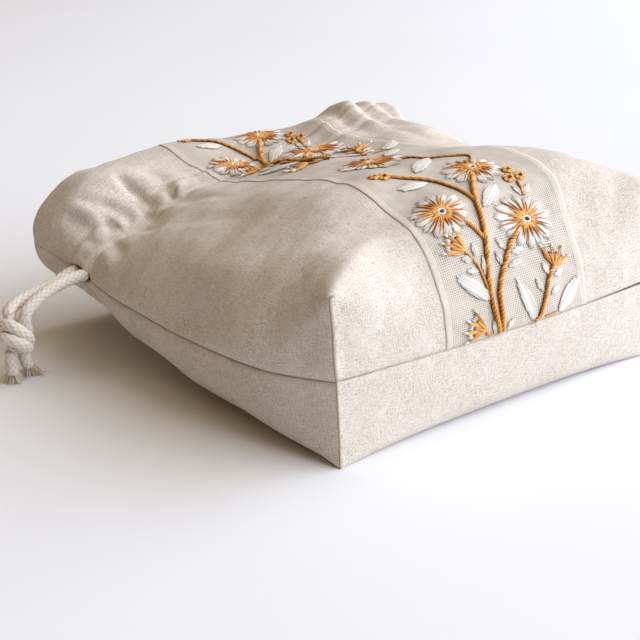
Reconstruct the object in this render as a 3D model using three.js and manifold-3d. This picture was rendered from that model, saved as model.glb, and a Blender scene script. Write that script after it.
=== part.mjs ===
// Drawstring pouch of natural linen, lying on its back with its boxed bottom to the front.
// Millimetres, +Z up. The bottom faces -Y, the mouth faces +Y and the cord leaves on the -X side.
// Each panel is shaped from its flat pattern: u runs across it, t up it from the bottom seam.

import * as THREE from 'three';
import { mergeVertices } from 'three/addons/utils/BufferGeometryUtils.js';
import Module from 'manifold-3d';

const wasm = await Module();
wasm.setup();

// Flat pattern
const HALF_WIDTH = 104;
const HALF_GUSSET = 30;
const HALF_BOTTOM = HALF_WIDTH - HALF_GUSSET;
const PANEL_HEIGHT = 190;
const CINCH = 127;
const CINCH_T = HALF_GUSSET + CINCH;
const SEAM_GAP = 0.3;

// Cloth: plain wall, doubled hem, and the casing that bulges inward round the cord
const WALL = 1.2;
const HEM = 2;
const CASING = 11.6;
const CASING_RISE = [148, 153.5];
const CASING_FALL = [160.5, 166];

// Embroidered tulle band on the front's centre line
const HALF_BAND = 32.5;
const BAND_THICK = 1;
const BAND_GAP = 0.3;

// Cord, its channel in the casing and its knot
const CORD_RADIUS = 2.3;
const CORD_SIDES = 8;
const CHANNEL_RADIUS = 2.65;
const LOOP_STEPS = 88;

// Where the cord leaves the casing's curve, and its turn from there to the slit: steps in from the slit,
// along the mouth and up
const TURN_U = -84;
const EXIT_SPREAD = 3.1;
const EXIT_COLUMNS = ['inward', 'spread', 'rise'];
const EXIT_TURN = [
  [10.2, 1.2, 5.4],
  [8, 2.6, 2.5],
  [4.8, EXIT_SPREAD, 0.8],
  [1.6, EXIT_SPREAD, 0.1],
];

// Knot of the free ends
const KNOT_CENTRE = new THREE.Vector3(-121.5, 121, 17.3);
const KNOT_RADIUS = 5.4;
const KNOT_HEIGHT = 6.2;
const KNOT_BELT_RING = 4.6;
const KNOT_BELT_TUBE = 2.2;
const KNOT_BELT_TILT = 0.42;

// Where the middle of the cloth's underside lies in the pattern's frame
const MIDDLE_X = -3.2;
const MIDDLE_Y = 78.9;

// The two panels: direction of their outside, radius of the ridge where bottom face turns into panel
const FRONT = { up: 1, ridge: 22, top: 'top', shoulderX: 'topX', shoulderZ: 'topZ' };
const BACK = { up: -1, ridge: 9, top: 'under', shoulderX: 'underX', shoulderZ: 'underZ' };

// Bottom face: swelling at its middle, lean of its upper edge toward the mouth, rise of its seam
const BOTTOM_BULGE = 3;
const BOTTOM_LEAN = 6;
const LEAN_HEIGHT = 58;
const LEAN_FADE = 30;
const SEAM_RISE = 0.3;
const RIDGE_POWER = 3;

// Cross sections along the pouch. along: from the bottom ridge. shift: of the middle. half: half width.
// seamZ: height of the side seams. roll: slope across. top and under: reach above and below the seams,
// each with the radii of its shoulder. crown: extra rise at the centre line.
const SECTION_COLUMNS = ['along', 'shift', 'half', 'seamZ', 'roll', 'top', 'topX', 'topZ', 'crown',
  'under', 'underX', 'underZ'];
const SECTIONS = [
  [0, 0, 74, 28.4, 0, 27, 0.5, 0.5, 3.5, 28.4, 0.5, 0.5],
  [8, 0, 77.5, 27.8, 0, 36, 24, 20, 3.5, 28.2, 8, 8],
  [16, 0, 81, 27.3, 0, 40, 41, 31, 4, 28.2, 14, 14],
  [24, 0, 84, 27, 0, 41.5, 53, 36, 5, 28.2, 19, 18],
  [40, 0, 87.5, 27, 0, 42.5, 66, 39, 6, 28.2, 27, 22],
  [70, -1, 90, 27.5, 0, 37.5, 76, 36, 6, 28.5, 36, 25],
  [98, -3, 90, 30, 0.01, 30.5, 80, 30, 4.5, 30, 56, 28],
  [116, -5, 88, 33, 0.03, 26, 80, 26, 2, 26, 66, 26],
  [127, -6, 86.5, 35.5, 0.04, 23, 76, 23, 0, 23, 62, 23],
  [136, -6.5, 87.5, 38, 0.05, 22.5, 46, 22, 0, 23, 50, 23],
  [148, -7, 88.5, 40, 0.05, 22.5, 26, 21, 0, 25, 40, 25],
  [160, -7, 87.5, 40, 0.05, 21, 22, 20, 0, 25, 40, 25],
];

// Broad swellings and hollows of the front: pattern place, radii, height
const SWELL_COLUMNS = ['u', 't', 'radiusU', 'radiusT', 'height'];
const SWELLS = [
  [62, 58, 28, 38, 4],
  [74, 30, 17, 17, 4.5],
  [58, 136, 26, 28, 10],
  [54, 161, 40, 16, 8.5],
  [-66, 182, 16, 18, 2.5],
  [-70, 156, 17, 12, -4],
  [-42, 51, 29, 21, -6],
];
const SWELL_EDGE = 15;

// Gathers at the casing: place across the panel, half width, height of a ridge or depth of a valley below
// zero, reach into the body and into the frill
const FOLD_COLUMNS = ['u', 'width', 'height', 'bodyReach', 'frillReach'];
const FRONT_FOLDS = [
  [-96, 4, 1.6, 9, 14],
  [-90, 4, -2, 9, 16],
  [-84, 4.5, 2.4, 13, 17],
  [-79, 4, -2.8, 9, 20],
  [-72, 4.5, 2.6, 18, 16],
  [-65, 4.5, -3, 17, 14],
  [-59, 4, 2.2, 16, 20],
  [-52, 5, -3.2, 18, 24],
  [-45, 4.5, 1.8, 12, 20],
  [-39, 4.5, -2.2, 10, 18],
  [-24, 6, 1, 9, 14],
  [-8, 6, -1.2, 8, 14],
  [8, 6, 0.9, 9, 12],
  [24, 6, -1.2, 8, 14],
  [40, 4.5, -2, 12, 18],
  [46, 4.5, 2, 13, 18],
  [54, 5, -2.6, 16, 22],
  [61, 4.5, 2.2, 15, 20],
  [68, 4.5, -2.2, 12, 16],
  [75, 4.5, 2.2, 13, 16],
  [83, 4.5, -2, 10, 18],
  [91, 4.5, 1.8, 10, 14],
];
const BACK_PLEAT = 15;
const BACK_FOLDS = [-6, -5, -4, -3, -2, -1, 0, 1, 2, 3, 4, 5, 6].flatMap((k) => [
  [k * BACK_PLEAT, 5, 1.8, 11, 18],
  [(k + 0.5) * BACK_PLEAT, 5, -2, 10, 18],
]);
const FOLD_EDGE = 9;
const VALLEY_IN_CASING = 0.3;

// Grid of a panel: rows up the pattern above the gusset, and the number of steps in each zone across
const PANEL_ROWS = [HALF_GUSSET, 34, 39, 46, 54, 66, 82, 100, 118, 130, 140, ...CASING_RISE, CINCH_T,
  ...CASING_FALL, 174, 182, PANEL_HEIGHT];
const BAND_STEPS = 8;
const SIDE_STEPS = 9;
const GUSSET_STEPS = 5;

const named = (columns, row) => Object.fromEntries(columns.map((name, i) => [name, row[i]]));
const clamp = THREE.MathUtils.clamp;
const smoothstep = THREE.MathUtils.smoothstep;

// Monotone cubic through one column of the section table
function sectionSpline(column) {
  const x = SECTIONS.map((row) => row[0]);
  const y = SECTIONS.map((row) => row[column]);
  const last = x.length - 1;
  const chord = x.slice(0, last).map((value, i) => (y[i + 1] - y[i]) / (x[i + 1] - value));
  const slope = x.map((value, i) => {
    if (i === 0) return chord[0];
    if (i === last) return chord[last - 1];
    const product = chord[i - 1] * chord[i];
    return product <= 0 ? 0 : 2 * product / (chord[i - 1] + chord[i]);
  });
  return (along) => {
    const at = clamp(along, x[0], x[last]);
    let i = 0;
    while (i < last - 1 && at >= x[i + 1]) i += 1;
    const h = x[i + 1] - x[i];
    const s = (at - x[i]) / h;
    const r = 1 - s;
    return (1 + 2 * s) * r * r * y[i] + s * r * r * h * slope[i]
      + s * s * (3 - 2 * s) * y[i + 1] - s * s * r * h * slope[i + 1];
  };
}

const SPLINES = SECTION_COLUMNS.map((name, column) => sectionSpline(column));
const sectionAt = (along) => named(SECTION_COLUMNS, SPLINES.map((spline) => spline(along)));
const RIDGE_SECTION = named(SECTION_COLUMNS, SECTIONS[0]);

// A ramp max(x, 0) whose corner is rounded over a distance r either side, and its slope
function fillet(x, r) {
  if (x <= -r) return 0;
  if (x >= r) return x;
  return (x + r) ** 2 / (4 * r);
}

function filletSlope(x, r) {
  if (r < 1e-6) return x < 0 ? 0 : x > 0 ? 1 : 0.5;
  return clamp((x + r) / (2 * r), 0, 1);
}

// Point and outward direction on half a cross section, at a signed fraction of the way out from its middle.
// From the seam it runs up a straight side, round an elliptic shoulder and along a flat top.
function halfLoop(fraction, half, height, shoulderX, shoulderZ) {
  const arcSteps = 32;
  const rx = Math.min(shoulderX, half);
  const rz = Math.min(shoulderZ, height);
  const path = [{ x: half, z: 0, nx: 1, nz: 0 }];
  for (let i = 0; i <= arcSteps; i += 1) {
    const angle = (i / arcSteps) * Math.PI / 2;
    const normal = new THREE.Vector2(Math.cos(angle) / rx, Math.sin(angle) / rz).normalize();
    const x = half - rx + rx * Math.cos(angle);
    const z = height - rz + rz * Math.sin(angle);
    path.push({ x, z, nx: normal.x, nz: normal.y });
  }
  path.push({ x: 0, z: height, nx: 0, nz: 1 });
  const reach = [0];
  for (let i = 1; i < path.length; i += 1) {
    reach.push(reach[i - 1] + Math.hypot(path[i].x - path[i - 1].x, path[i].z - path[i - 1].z));
  }
  const wanted = (1 - Math.abs(fraction)) * reach[reach.length - 1];
  let i = 0;
  while (i < path.length - 2 && reach[i + 1] < wanted) i += 1;
  const share = (wanted - reach[i]) / Math.max(reach[i + 1] - reach[i], 1e-9);
  const mix = (key) => THREE.MathUtils.lerp(path[i][key], path[i + 1][key], share);
  const sign = fraction < 0 ? -1 : 1;
  return { x: sign * mix('x'), z: mix('z'), nx: sign * mix('nx'), nz: mix('nz') };
}

// Height of the gathers at a pattern point, with the given shares of their ridges and valleys
function gather(panel, u, along, shares) {
  const rows = panel === FRONT ? FRONT_FOLDS : BACK_FOLDS;
  const edge = clamp((HALF_WIDTH - Math.abs(u)) / FOLD_EDGE, 0, 1);
  return edge * rows.reduce((sum, row) => {
    const fold = named(FOLD_COLUMNS, row);
    const reach = along < CINCH ? fold.bodyReach : fold.frillReach;
    const across = (u - fold.u) / fold.width;
    const away = (along - CINCH) / reach;
    const height = fold.height * (fold.height > 0 ? shares.ridges : shares.valleys);
    return sum + height * Math.exp(-across * across - away * away);
  }, 0);
}

function swelling(u, t) {
  const edge = clamp((HALF_WIDTH - Math.abs(u)) / SWELL_EDGE, 0, 1);
  return edge * SWELLS.reduce((sum, row) => {
    const swell = named(SWELL_COLUMNS, row);
    const across = (u - swell.u) / swell.radiusU;
    const up = (t - swell.t) / swell.radiusT;
    return sum + swell.height * Math.exp(-across * across - up * up);
  }, 0);
}

// Place of a pattern point in space, a distance inset inside the cloth's outer face
function panelPoint(panel, u, t, inset, shares) {
  const radius = panel.ridge * Math.max(0, 1 - Math.abs(u / HALF_BOTTOM) ** RIDGE_POWER);
  const along = fillet(t - HALF_GUSSET, radius);
  const drop = fillet(HALF_GUSSET - t, radius) / HALF_GUSSET;
  const turn = filletSlope(t - HALF_GUSSET, radius);
  const turnLength = Math.hypot(turn, 1 - turn);
  const section = sectionAt(along);

  const loop = halfLoop(u / HALF_WIDTH, section.half - inset, section[panel.top] - inset * turn / turnLength,
    Math.max(section[panel.shoulderX] - inset, 0.3), Math.max(section[panel.shoulderZ] - inset, 0.3));
  const fold = gather(panel, u, along, shares);
  const faceMiddle = Math.max(0, 1 - (u / HALF_BOTTOM) ** 2);
  const crownShare = Math.max(0, 1 - (loop.x / section.half) ** 2);

  let x = loop.x + loop.nx * fold;
  let z = section.seamZ + panel.up * (loop.z + loop.nz * fold);
  if (panel === FRONT) {
    z += section.crown * crownShare + swelling(u, t);
    z -= drop * (RIDGE_SECTION.top + (RIDGE_SECTION.crown - SEAM_RISE) * faceMiddle);
  } else {
    z += drop * (RIDGE_SECTION.under + SEAM_RISE * faceMiddle);
  }
  const lean = BOTTOM_LEAN * (clamp(z, 0, 60) / LEAN_HEIGHT) ** 1.5 * Math.exp(-along / LEAN_FADE);
  const y = along - BOTTOM_BULGE * faceMiddle * Math.sin(clamp(drop, 0, 1) * Math.PI / 2) + lean
    + inset * (1 - turn) / turnLength;
  z += section.roll * x;
  x += section.shift;
  if (panel === BACK) z = Math.max(z, inset);
  return new THREE.Vector3(x, y, z);
}

// Wall thickness up the panel, and how much of the gathers the inner face takes part in
const casingShare = (t) => smoothstep(t, ...CASING_RISE) * (1 - smoothstep(t, ...CASING_FALL));
const hemShare = (t) => smoothstep(t, ...CASING_FALL);

function wallThickness(t) {
  const casing = casingShare(t);
  const plain = THREE.MathUtils.lerp(WALL, HEM, hemShare(t));
  return THREE.MathUtils.lerp(plain, CASING, casing);
}

const outerFolds = (t) => ({ ridges: 1, valleys: THREE.MathUtils.lerp(1, VALLEY_IN_CASING, casingShare(t)) });
const innerFolds = (t) => ({ ridges: 1 - casingShare(t), valleys: 1 - casingShare(t) });
const NO_FOLDS = { ridges: 0, valleys: 0 };

// Pattern grid: columns across, rows up the bottom face, rows above it
const gussetRows = Array.from({ length: GUSSET_STEPS + 1 },
  (_, i) => SEAM_GAP / 2 + (HALF_GUSSET - SEAM_GAP / 2) * i / GUSSET_STEPS);

function stepsBetween(start, end, count) {
  return Array.from({ length: count }, (_, i) => start + (end - start) * (i + 1) / count);
}

function panelColumns() {
  const band = stepsBetween(-HALF_BAND, HALF_BAND, BAND_STEPS);
  const side = stepsBetween(HALF_BAND, HALF_BOTTOM, SIDE_STEPS);
  const gusset = gussetRows.slice(0, -1).map((t) => HALF_BOTTOM + HALF_GUSSET - t).reverse();
  const outward = [...side, ...gusset];
  return [...outward.map((u) => -u).reverse(), -HALF_BAND, ...band, ...outward];
}

// Grid cells as corner lists of pattern points, anticlockwise in (u, t)
function gridCells(columns, rows) {
  const cells = [];
  for (let j = 0; j + 1 < rows.length; j += 1) {
    for (let i = 0; i + 1 < columns.length; i += 1) {
      cells.push([[columns[i], rows[j]], [columns[i + 1], rows[j]],
        [columns[i + 1], rows[j + 1]], [columns[i], rows[j + 1]]]);
    }
  }
  return cells;
}

// The box seam sews the bottom face's end to the gusset's lower edge, so both carry the same points
function sewn([u, t]) {
  const onBoxSeam = Math.abs(u) > HALF_BOTTOM - 1e-6 && t < HALF_GUSSET - 1e-6;
  return onBoxSeam ? [Math.sign(u) * (HALF_BOTTOM + HALF_GUSSET - t), HALF_GUSSET] : [u, t];
}

// Closed wall over grid cells: outer skin, inner skin, and a strip along every free edge
function wallSolid(cells, reversed, outerPoint, innerPoint) {
  const index = new Map();
  const places = [];
  const nodeOf = (corner) => {
    const [u, t] = sewn(corner);
    const key = `${u.toFixed(4)},${t.toFixed(4)}`;
    if (!index.has(key)) {
      index.set(key, places.length);
      places.push([u, t]);
    }
    return index.get(key);
  };
  const quads = cells.map((cell) => {
    const quad = cell.map(nodeOf);
    return reversed ? quad.reverse() : quad;
  });

  const count = places.length;
  const edges = new Set();
  const triangles = [];
  for (const [a, b, c, d] of quads) {
    triangles.push(a, b, c, a, c, d);
    triangles.push(a + count, c + count, b + count, a + count, d + count, c + count);
    for (const [from, to] of [[a, b], [b, c], [c, d], [d, a]]) edges.add(`${from},${to}`);
  }
  for (const edge of edges) {
    const [from, to] = edge.split(',').map(Number);
    if (!edges.has(`${to},${from}`)) {
      triangles.push(to, from, from + count, to, from + count, to + count);
    }
  }
  const points = [...places.map(outerPoint), ...places.map(innerPoint)];
  const mesh = new wasm.Mesh({
    numProp: 3,
    vertProperties: new Float32Array(points.flatMap((point) => point.toArray())),
    triVerts: new Uint32Array(triangles),
  });
  return new wasm.Manifold(mesh);
}

// Conversions between three.js geometry and solids for cutting and joining
function solidOf(geometry) {
  geometry.deleteAttribute('normal');
  geometry.deleteAttribute('uv');
  const merged = mergeVertices(geometry, 1e-4);
  return new wasm.Manifold(new wasm.Mesh({
    numProp: 3,
    vertProperties: new Float32Array(merged.attributes.position.array),
    triVerts: new Uint32Array(merged.index.array),
  }));
}

function geometryOf(solid) {
  const { vertProperties, triVerts } = solid.getMesh();
  const geometry = new THREE.BufferGeometry();
  geometry.setAttribute('position', new THREE.BufferAttribute(vertProperties, 3));
  geometry.setIndex(new THREE.BufferAttribute(triVerts, 1));
  geometry.computeVertexNormals();
  return geometry;
}

// Round tube along points
function tube(points, radius, steps) {
  const section = new THREE.Shape();
  for (let i = 0; i < CORD_SIDES; i += 1) {
    const angle = (i / CORD_SIDES) * 2 * Math.PI;
    const corner = [radius * Math.cos(angle), radius * Math.sin(angle)];
    if (i === 0) section.moveTo(...corner);
    else section.lineTo(...corner);
  }
  const extrudePath = new THREE.CatmullRomCurve3(points, false, 'centripetal');
  return new THREE.ExtrudeGeometry(section, { steps, extrudePath, bevelEnabled: false });
}

// Cord inside the casing: once round the mouth, its two ends turning out of the slit in the side seam
const slit = panelPoint(FRONT, -HALF_WIDTH, CINCH_T, 0, NO_FOLDS);

function casingPoint(panel, u) {
  const outer = panelPoint(panel, u, CINCH_T, 0, { ridges: 0, valleys: VALLEY_IN_CASING });
  const inner = panelPoint(panel, u, CINCH_T, CASING, NO_FOLDS);
  return outer.lerp(inner, 0.5);
}

const casingPath = [
  casingPoint(FRONT, TURN_U),
  ...stepsBetween(TURN_U, HALF_WIDTH, 18).map((u) => casingPoint(FRONT, u)),
  ...stepsBetween(HALF_WIDTH, TURN_U, 18).map((u) => casingPoint(BACK, u)),
];

function exitTurn(sign) {
  return EXIT_TURN.map((row) => {
    const { inward, spread, rise } = named(EXIT_COLUMNS, row);
    return new THREE.Vector3(slit.x + inward, slit.y - sign * spread, slit.z + sign * rise);
  });
}

const loopPath = [...exitTurn(1).reverse(), ...casingPath, ...exitTurn(-1)];

// Straight bore from the turned end of the cord out through the side seam
function exitBore(sign) {
  const inside = exitTurn(sign).at(-1);
  const outside = new THREE.Vector3(slit.x - 6, inside.y, inside.z);
  return solidOf(tube([inside, outside], CHANNEL_RADIUS, 1));
}

// A sewn panel with its doubled hem, cut by the cord's channel and slit
function panelSolid(panel) {
  const bottomColumns = panelColumns().filter((u) => Math.abs(u) < HALF_BOTTOM + 1e-6);
  const cells = [...gridCells(bottomColumns, gussetRows), ...gridCells(panelColumns(), PANEL_ROWS)];
  const wall = wallSolid(cells, panel === BACK,
    ([u, t]) => panelPoint(panel, u, t, 0, outerFolds(t)),
    ([u, t]) => panelPoint(panel, u, t, wallThickness(t), innerFolds(t)));
  const channel = solidOf(tube(loopPath, CHANNEL_RADIUS, LOOP_STEPS));
  return wall.subtract(channel).subtract(exitBore(1)).subtract(exitBore(-1));
}

// The band follows the front a small gap above it
function bandSolid() {
  const columns = panelColumns().filter((u) => Math.abs(u) < HALF_BAND + 1e-6);
  const cells = [...gridCells(columns, gussetRows), ...gridCells(columns, PANEL_ROWS)];
  return wallSolid(cells, false,
    ([u, t]) => panelPoint(FRONT, u, t, -BAND_GAP - BAND_THICK, outerFolds(t)),
    ([u, t]) => panelPoint(FRONT, u, t, -BAND_GAP, outerFolds(t)));
}

// Free strands from the slit over to the knot, and the tails from the knot down to the surface below
const strandFront = [[-91.8, 123.9, 32.1], [-96.2, 123.7, 32], [-101.7, 123, 31.5], [-107.7, 122, 30.3],
  [-113.2, 120.8, 28.3], [-117.6, 119.8, 25.9], [-119.4, 119.3, 23.7]];
const strandBack = [[-92, 130.1, 32.1], [-96.2, 129.7, 31.4], [-101.7, 128.5, 30], [-108.2, 127.2, 28.9],
  [-114.7, 126.2, 27.9], [-119.8, 125.2, 26.7], [-122.6, 124.2, 25.2], [-123.2, 123.6, 23.6]];
const tailFront = [[-125, 120.4, 11.1], [-125.2, 120.5, 6], [-124.9, 120.8, 0.3]];
const tailBack = [[-119.9, 122.7, 11.1], [-118.7, 122.9, 6], [-116.4, 123, 0.3]];
const toPoints = (rows) => rows.map((row) => new THREE.Vector3(...row));

function knotSolid() {
  const core = new THREE.SphereGeometry(KNOT_RADIUS, 14, 9);
  core.rotateX(Math.PI / 2);
  core.scale(1, 1, KNOT_HEIGHT / KNOT_RADIUS);
  const belt = new THREE.TorusGeometry(KNOT_BELT_RING, KNOT_BELT_TUBE, CORD_SIDES, 16);
  belt.rotateY(KNOT_BELT_TILT);
  return solidOf(core).add(solidOf(belt)).translate(KNOT_CENTRE.toArray());
}

// Materials
const linen = new THREE.MeshStandardMaterial({ color: 0xd9cfc1, roughness: 0.95, metalness: 0 });
const tulle = new THREE.MeshStandardMaterial({ color: 0xe3dac8, roughness: 0.9, metalness: 0 });
const cotton = new THREE.MeshStandardMaterial({ color: 0xe0d5c2, roughness: 0.92, metalness: 0 });

function mesh(name, geometry, material) {
  const piece = new THREE.Mesh(geometry, material);
  piece.name = name;
  return piece;
}

const pouch = new THREE.Group();
pouch.add(mesh('front_panel', geometryOf(panelSolid(FRONT)), linen));
pouch.add(mesh('back_panel', geometryOf(panelSolid(BACK)), linen));
pouch.add(mesh('embroidered_band', geometryOf(bandSolid()), tulle));
pouch.add(mesh('drawstring_loop', tube(loopPath, CORD_RADIUS, LOOP_STEPS), cotton));
pouch.add(mesh('strand_front', tube(toPoints(strandFront), CORD_RADIUS, 10), cotton));
pouch.add(mesh('strand_back', tube(toPoints(strandBack), CORD_RADIUS, 11), cotton));
pouch.add(mesh('cord_knot', geometryOf(knotSolid()), cotton));
pouch.add(mesh('tail_front', tube(toPoints(tailFront), CORD_RADIUS, 4), cotton));
pouch.add(mesh('tail_back', tube(toPoints(tailBack), CORD_RADIUS, 4), cotton));
pouch.position.set(-MIDDLE_X, -MIDDLE_Y, 0);

const part = new THREE.Group();
part.add(pouch);

export default part;
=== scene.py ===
"""Drawstring pouch of natural linen, with an embroidered tulle band and a knotted cord."""

import math

import bpy
import numpy as np
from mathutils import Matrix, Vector


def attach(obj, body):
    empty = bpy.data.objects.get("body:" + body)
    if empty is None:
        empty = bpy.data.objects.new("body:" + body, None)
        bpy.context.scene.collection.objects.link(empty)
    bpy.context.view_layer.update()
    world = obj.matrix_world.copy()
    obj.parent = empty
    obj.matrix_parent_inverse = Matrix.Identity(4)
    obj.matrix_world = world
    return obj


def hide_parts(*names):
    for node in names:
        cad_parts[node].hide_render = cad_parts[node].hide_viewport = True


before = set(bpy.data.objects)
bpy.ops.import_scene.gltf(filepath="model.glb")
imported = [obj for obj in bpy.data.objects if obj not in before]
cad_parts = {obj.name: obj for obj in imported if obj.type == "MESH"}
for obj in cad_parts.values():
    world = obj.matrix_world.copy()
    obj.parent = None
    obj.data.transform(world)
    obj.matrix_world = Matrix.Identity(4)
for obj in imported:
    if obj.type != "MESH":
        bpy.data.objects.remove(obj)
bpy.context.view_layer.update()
MM = 0.001
TINY = 1e-9
SIDES = ("front", "back")
FACING = {"front": 1, "back": -1}
rng = np.random.default_rng(11)

# Flat pattern in millimetres: u across a panel, t up it from the bottom seam
HALF_WIDTH = 104.0
HALF_GUSSET = 30.0
HALF_BOTTOM = HALF_WIDTH - HALF_GUSSET
PANEL_HEIGHT = 190.0
CINCH = 127.0
CINCH_T = HALF_GUSSET + CINCH
HALF_BAND = 32.5
# Open line left between the sewn panels
SEAM_GAP = 0.08

# Cloth thicknesses, and where the casing rises and falls
WALL = 1.2
HEM = 2.0
CASING = 11.6
CASING_RISE = (148.0, 153.5)
CASING_FALL = (160.5, 166.0)

# Bottom face and ridge
RIDGE = {"front": 22.0, "back": 9.0}
RIDGE_POWER = 3
BOTTOM_BULGE = 3.0
BOTTOM_LEAN = 6.0
LEAN_HEIGHT = 58.0
LEAN_FADE = 30.0
LEAN_TOP = 60.0
LEAN_POWER = 1.5
SEAM_RISE = 0.3

# Where the middle of the cloth's underside lies in the pattern's frame
MIDDLE = np.array([-3.2, 78.9, 0.0])

# Cross sections along the pouch, from the bottom ridge to the rim
SECTION_COLUMNS = ["along", "shift", "half", "seam_z", "roll", "top", "top_x", "top_z", "crown",
                   "under", "under_x", "under_z"]
SECTIONS = np.array([
    [0, 0, 74, 28.4, 0, 27, 0.5, 0.5, 3.5, 28.4, 0.5, 0.5],
    [8, 0, 77.5, 27.8, 0, 36, 24, 20, 3.5, 28.2, 8, 8],
    [16, 0, 81, 27.3, 0, 40, 41, 31, 4, 28.2, 14, 14],
    [24, 0, 84, 27, 0, 41.5, 53, 36, 5, 28.2, 19, 18],
    [40, 0, 87.5, 27, 0, 42.5, 66, 39, 6, 28.2, 27, 22],
    [70, -1, 90, 27.5, 0, 37.5, 76, 36, 6, 28.5, 36, 25],
    [98, -3, 90, 30, 0.01, 30.5, 80, 30, 4.5, 30, 56, 28],
    [116, -5, 88, 33, 0.03, 26, 80, 26, 2, 26, 66, 26],
    [127, -6, 86.5, 35.5, 0.04, 23, 76, 23, 0, 23, 62, 23],
    [136, -6.5, 87.5, 38, 0.05, 22.5, 46, 22, 0, 23, 50, 23],
    [148, -7, 88.5, 40, 0.05, 22.5, 26, 21, 0, 25, 40, 25],
    [160, -7, 87.5, 40, 0.05, 21, 22, 20, 0, 25, 40, 25],
])

# Broad swellings of the front: u, t, radius across, radius up, height
SWELLS = [
    (62, 58, 28, 38, 4),
    (74, 30, 17, 17, 4.5),
    (58, 136, 26, 28, 10),
    (54, 161, 40, 16, 8.5),
    (-66, 182, 16, 18, 2.5),
    (-70, 156, 17, 12, -4),
    (-42, 51, 29, 21, -6),
]
SWELL_EDGE = 15.0

# Gathers at the casing: u, half width, height, reach into the body, reach into the frill
FRONT_FOLDS = [
    (-96, 4, 0.5, 9, 9),
    (-90, 4, -0.6, 9, 9),
    (-84, 4.5, 0.7, 13, 9),
    (-79, 4, -0.7, 9, 9),
    (-72, 4.5, 0.8, 14, 9),
    (-65, 4.5, -0.9, 14, 9),
    (-59, 4, 0.7, 14, 9),
    (-52, 5, -0.6, 14, 9),
    (-45, 4.5, 0.5, 12, 9),
    (-39, 4.5, -0.8, 10, 9),
    (-24, 6, 1, 9, 14),
    (-8, 6, -1.2, 8, 14),
    (8, 6, 0.9, 9, 12),
    (24, 6, -1.2, 8, 14),
    (40, 4.5, -2, 12, 18),
    (46, 4.5, 2, 13, 18),
    (54, 5, -2.6, 16, 22),
    (61, 4.5, 2.2, 15, 20),
    (68, 4.5, -2.2, 12, 16),
    (75, 4.5, 2.2, 13, 16),
    (83, 4.5, -2, 10, 18),
    (91, 4.5, 1.8, 10, 14),
]
BACK_PLEAT = 15.0
BACK_FOLDS = [row for k in range(-6, 7) for row in
              [(k * BACK_PLEAT, 5, 1.8, 11, 18), ((k + 0.5) * BACK_PLEAT, 5, -2, 10, 18)]]
FOLD_EDGE = 9.0


def section(name, along):
    """Monotone cubic through one column of the section table."""
    x = SECTIONS[:, 0]
    y = SECTIONS[:, SECTION_COLUMNS.index(name)]
    step = np.diff(x)
    chord = np.diff(y) / step
    product = chord[:-1] * chord[1:]
    same = product > 0
    inner = np.where(same, 2 * product / np.where(same, chord[:-1] + chord[1:], 1), 0)
    slope = np.concatenate([chord[:1], inner, chord[-1:]])
    at = np.clip(along, x[0], x[-1])
    i = np.clip(np.searchsorted(x, at, "right") - 1, 0, len(x) - 2)
    s = (at - x[i]) / step[i]
    r = 1 - s
    return ((1 + 2 * s) * r * r * y[i] + s * r * r * step[i] * slope[i]
            + s * s * (3 - 2 * s) * y[i + 1] - s * s * r * step[i] * slope[i + 1])


def fillet(x, r):
    """A ramp max(x, 0) whose corner is rounded over a distance r either side."""
    r = np.maximum(r, TINY)
    return np.where(x <= -r, 0, np.where(x >= r, x, (x + r) ** 2 / (4 * r)))


def smoothstep(x, low, high):
    """A smooth rise from 0 to 1 between two places."""
    s = np.clip((x - low) / (high - low), 0, 1)
    return s * s * (3 - 2 * s)


def unit(vectors):
    """Vectors scaled to a length of 1."""
    return vectors / np.maximum(np.linalg.norm(vectors, axis=-1, keepdims=True), TINY)


def half_loop(fraction, half, height, shoulder_x, shoulder_z):
    """Place and outward direction on half a cross section, by the share of the way out from its middle."""
    arc_steps = 32
    rx = np.minimum(shoulder_x, half)[:, None]
    rz = np.minimum(shoulder_z, height)[:, None]
    half = half[:, None]
    height = height[:, None]
    zero = 0 * half
    angle = np.linspace(0, math.pi / 2, arc_steps + 1)[None, :]
    x = np.concatenate([half, half - rx + rx * np.cos(angle), zero], 1)
    z = np.concatenate([zero, height - rz + rz * np.sin(angle), height], 1)
    nx = np.concatenate([zero + 1, np.cos(angle) / rx, zero], 1)
    nz = np.concatenate([zero, np.sin(angle) / rz, zero + 1], 1)
    length = np.hypot(nx, nz)
    reach = np.concatenate([zero, np.cumsum(np.hypot(np.diff(x, axis=1), np.diff(z, axis=1)), 1)], 1)
    wanted = (1 - np.abs(fraction)) * reach[:, -1]
    i = np.clip((reach < wanted[:, None]).sum(1) - 1, 0, reach.shape[1] - 2)
    row = np.arange(len(fraction))
    share = (wanted - reach[row, i]) / np.maximum(reach[row, i + 1] - reach[row, i], TINY)
    sign = np.where(fraction < 0, -1, 1)

    def mix(values):
        return values[row, i] + share * (values[row, i + 1] - values[row, i])

    return sign * mix(x), mix(z), sign * mix(nx / length), mix(nz / length)


def gather(side, u, along):
    """Height of the gathers either side of the casing."""
    total = np.zeros_like(u)
    for at, width, height, body, frill in FRONT_FOLDS if side == "front" else BACK_FOLDS:
        reach = np.where(along < CINCH, body, frill)
        total += height * np.exp(-((u - at) / width) ** 2 - ((along - CINCH) / reach) ** 2)
    return total * np.clip((HALF_WIDTH - np.abs(u)) / FOLD_EDGE, 0, 1)


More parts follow.
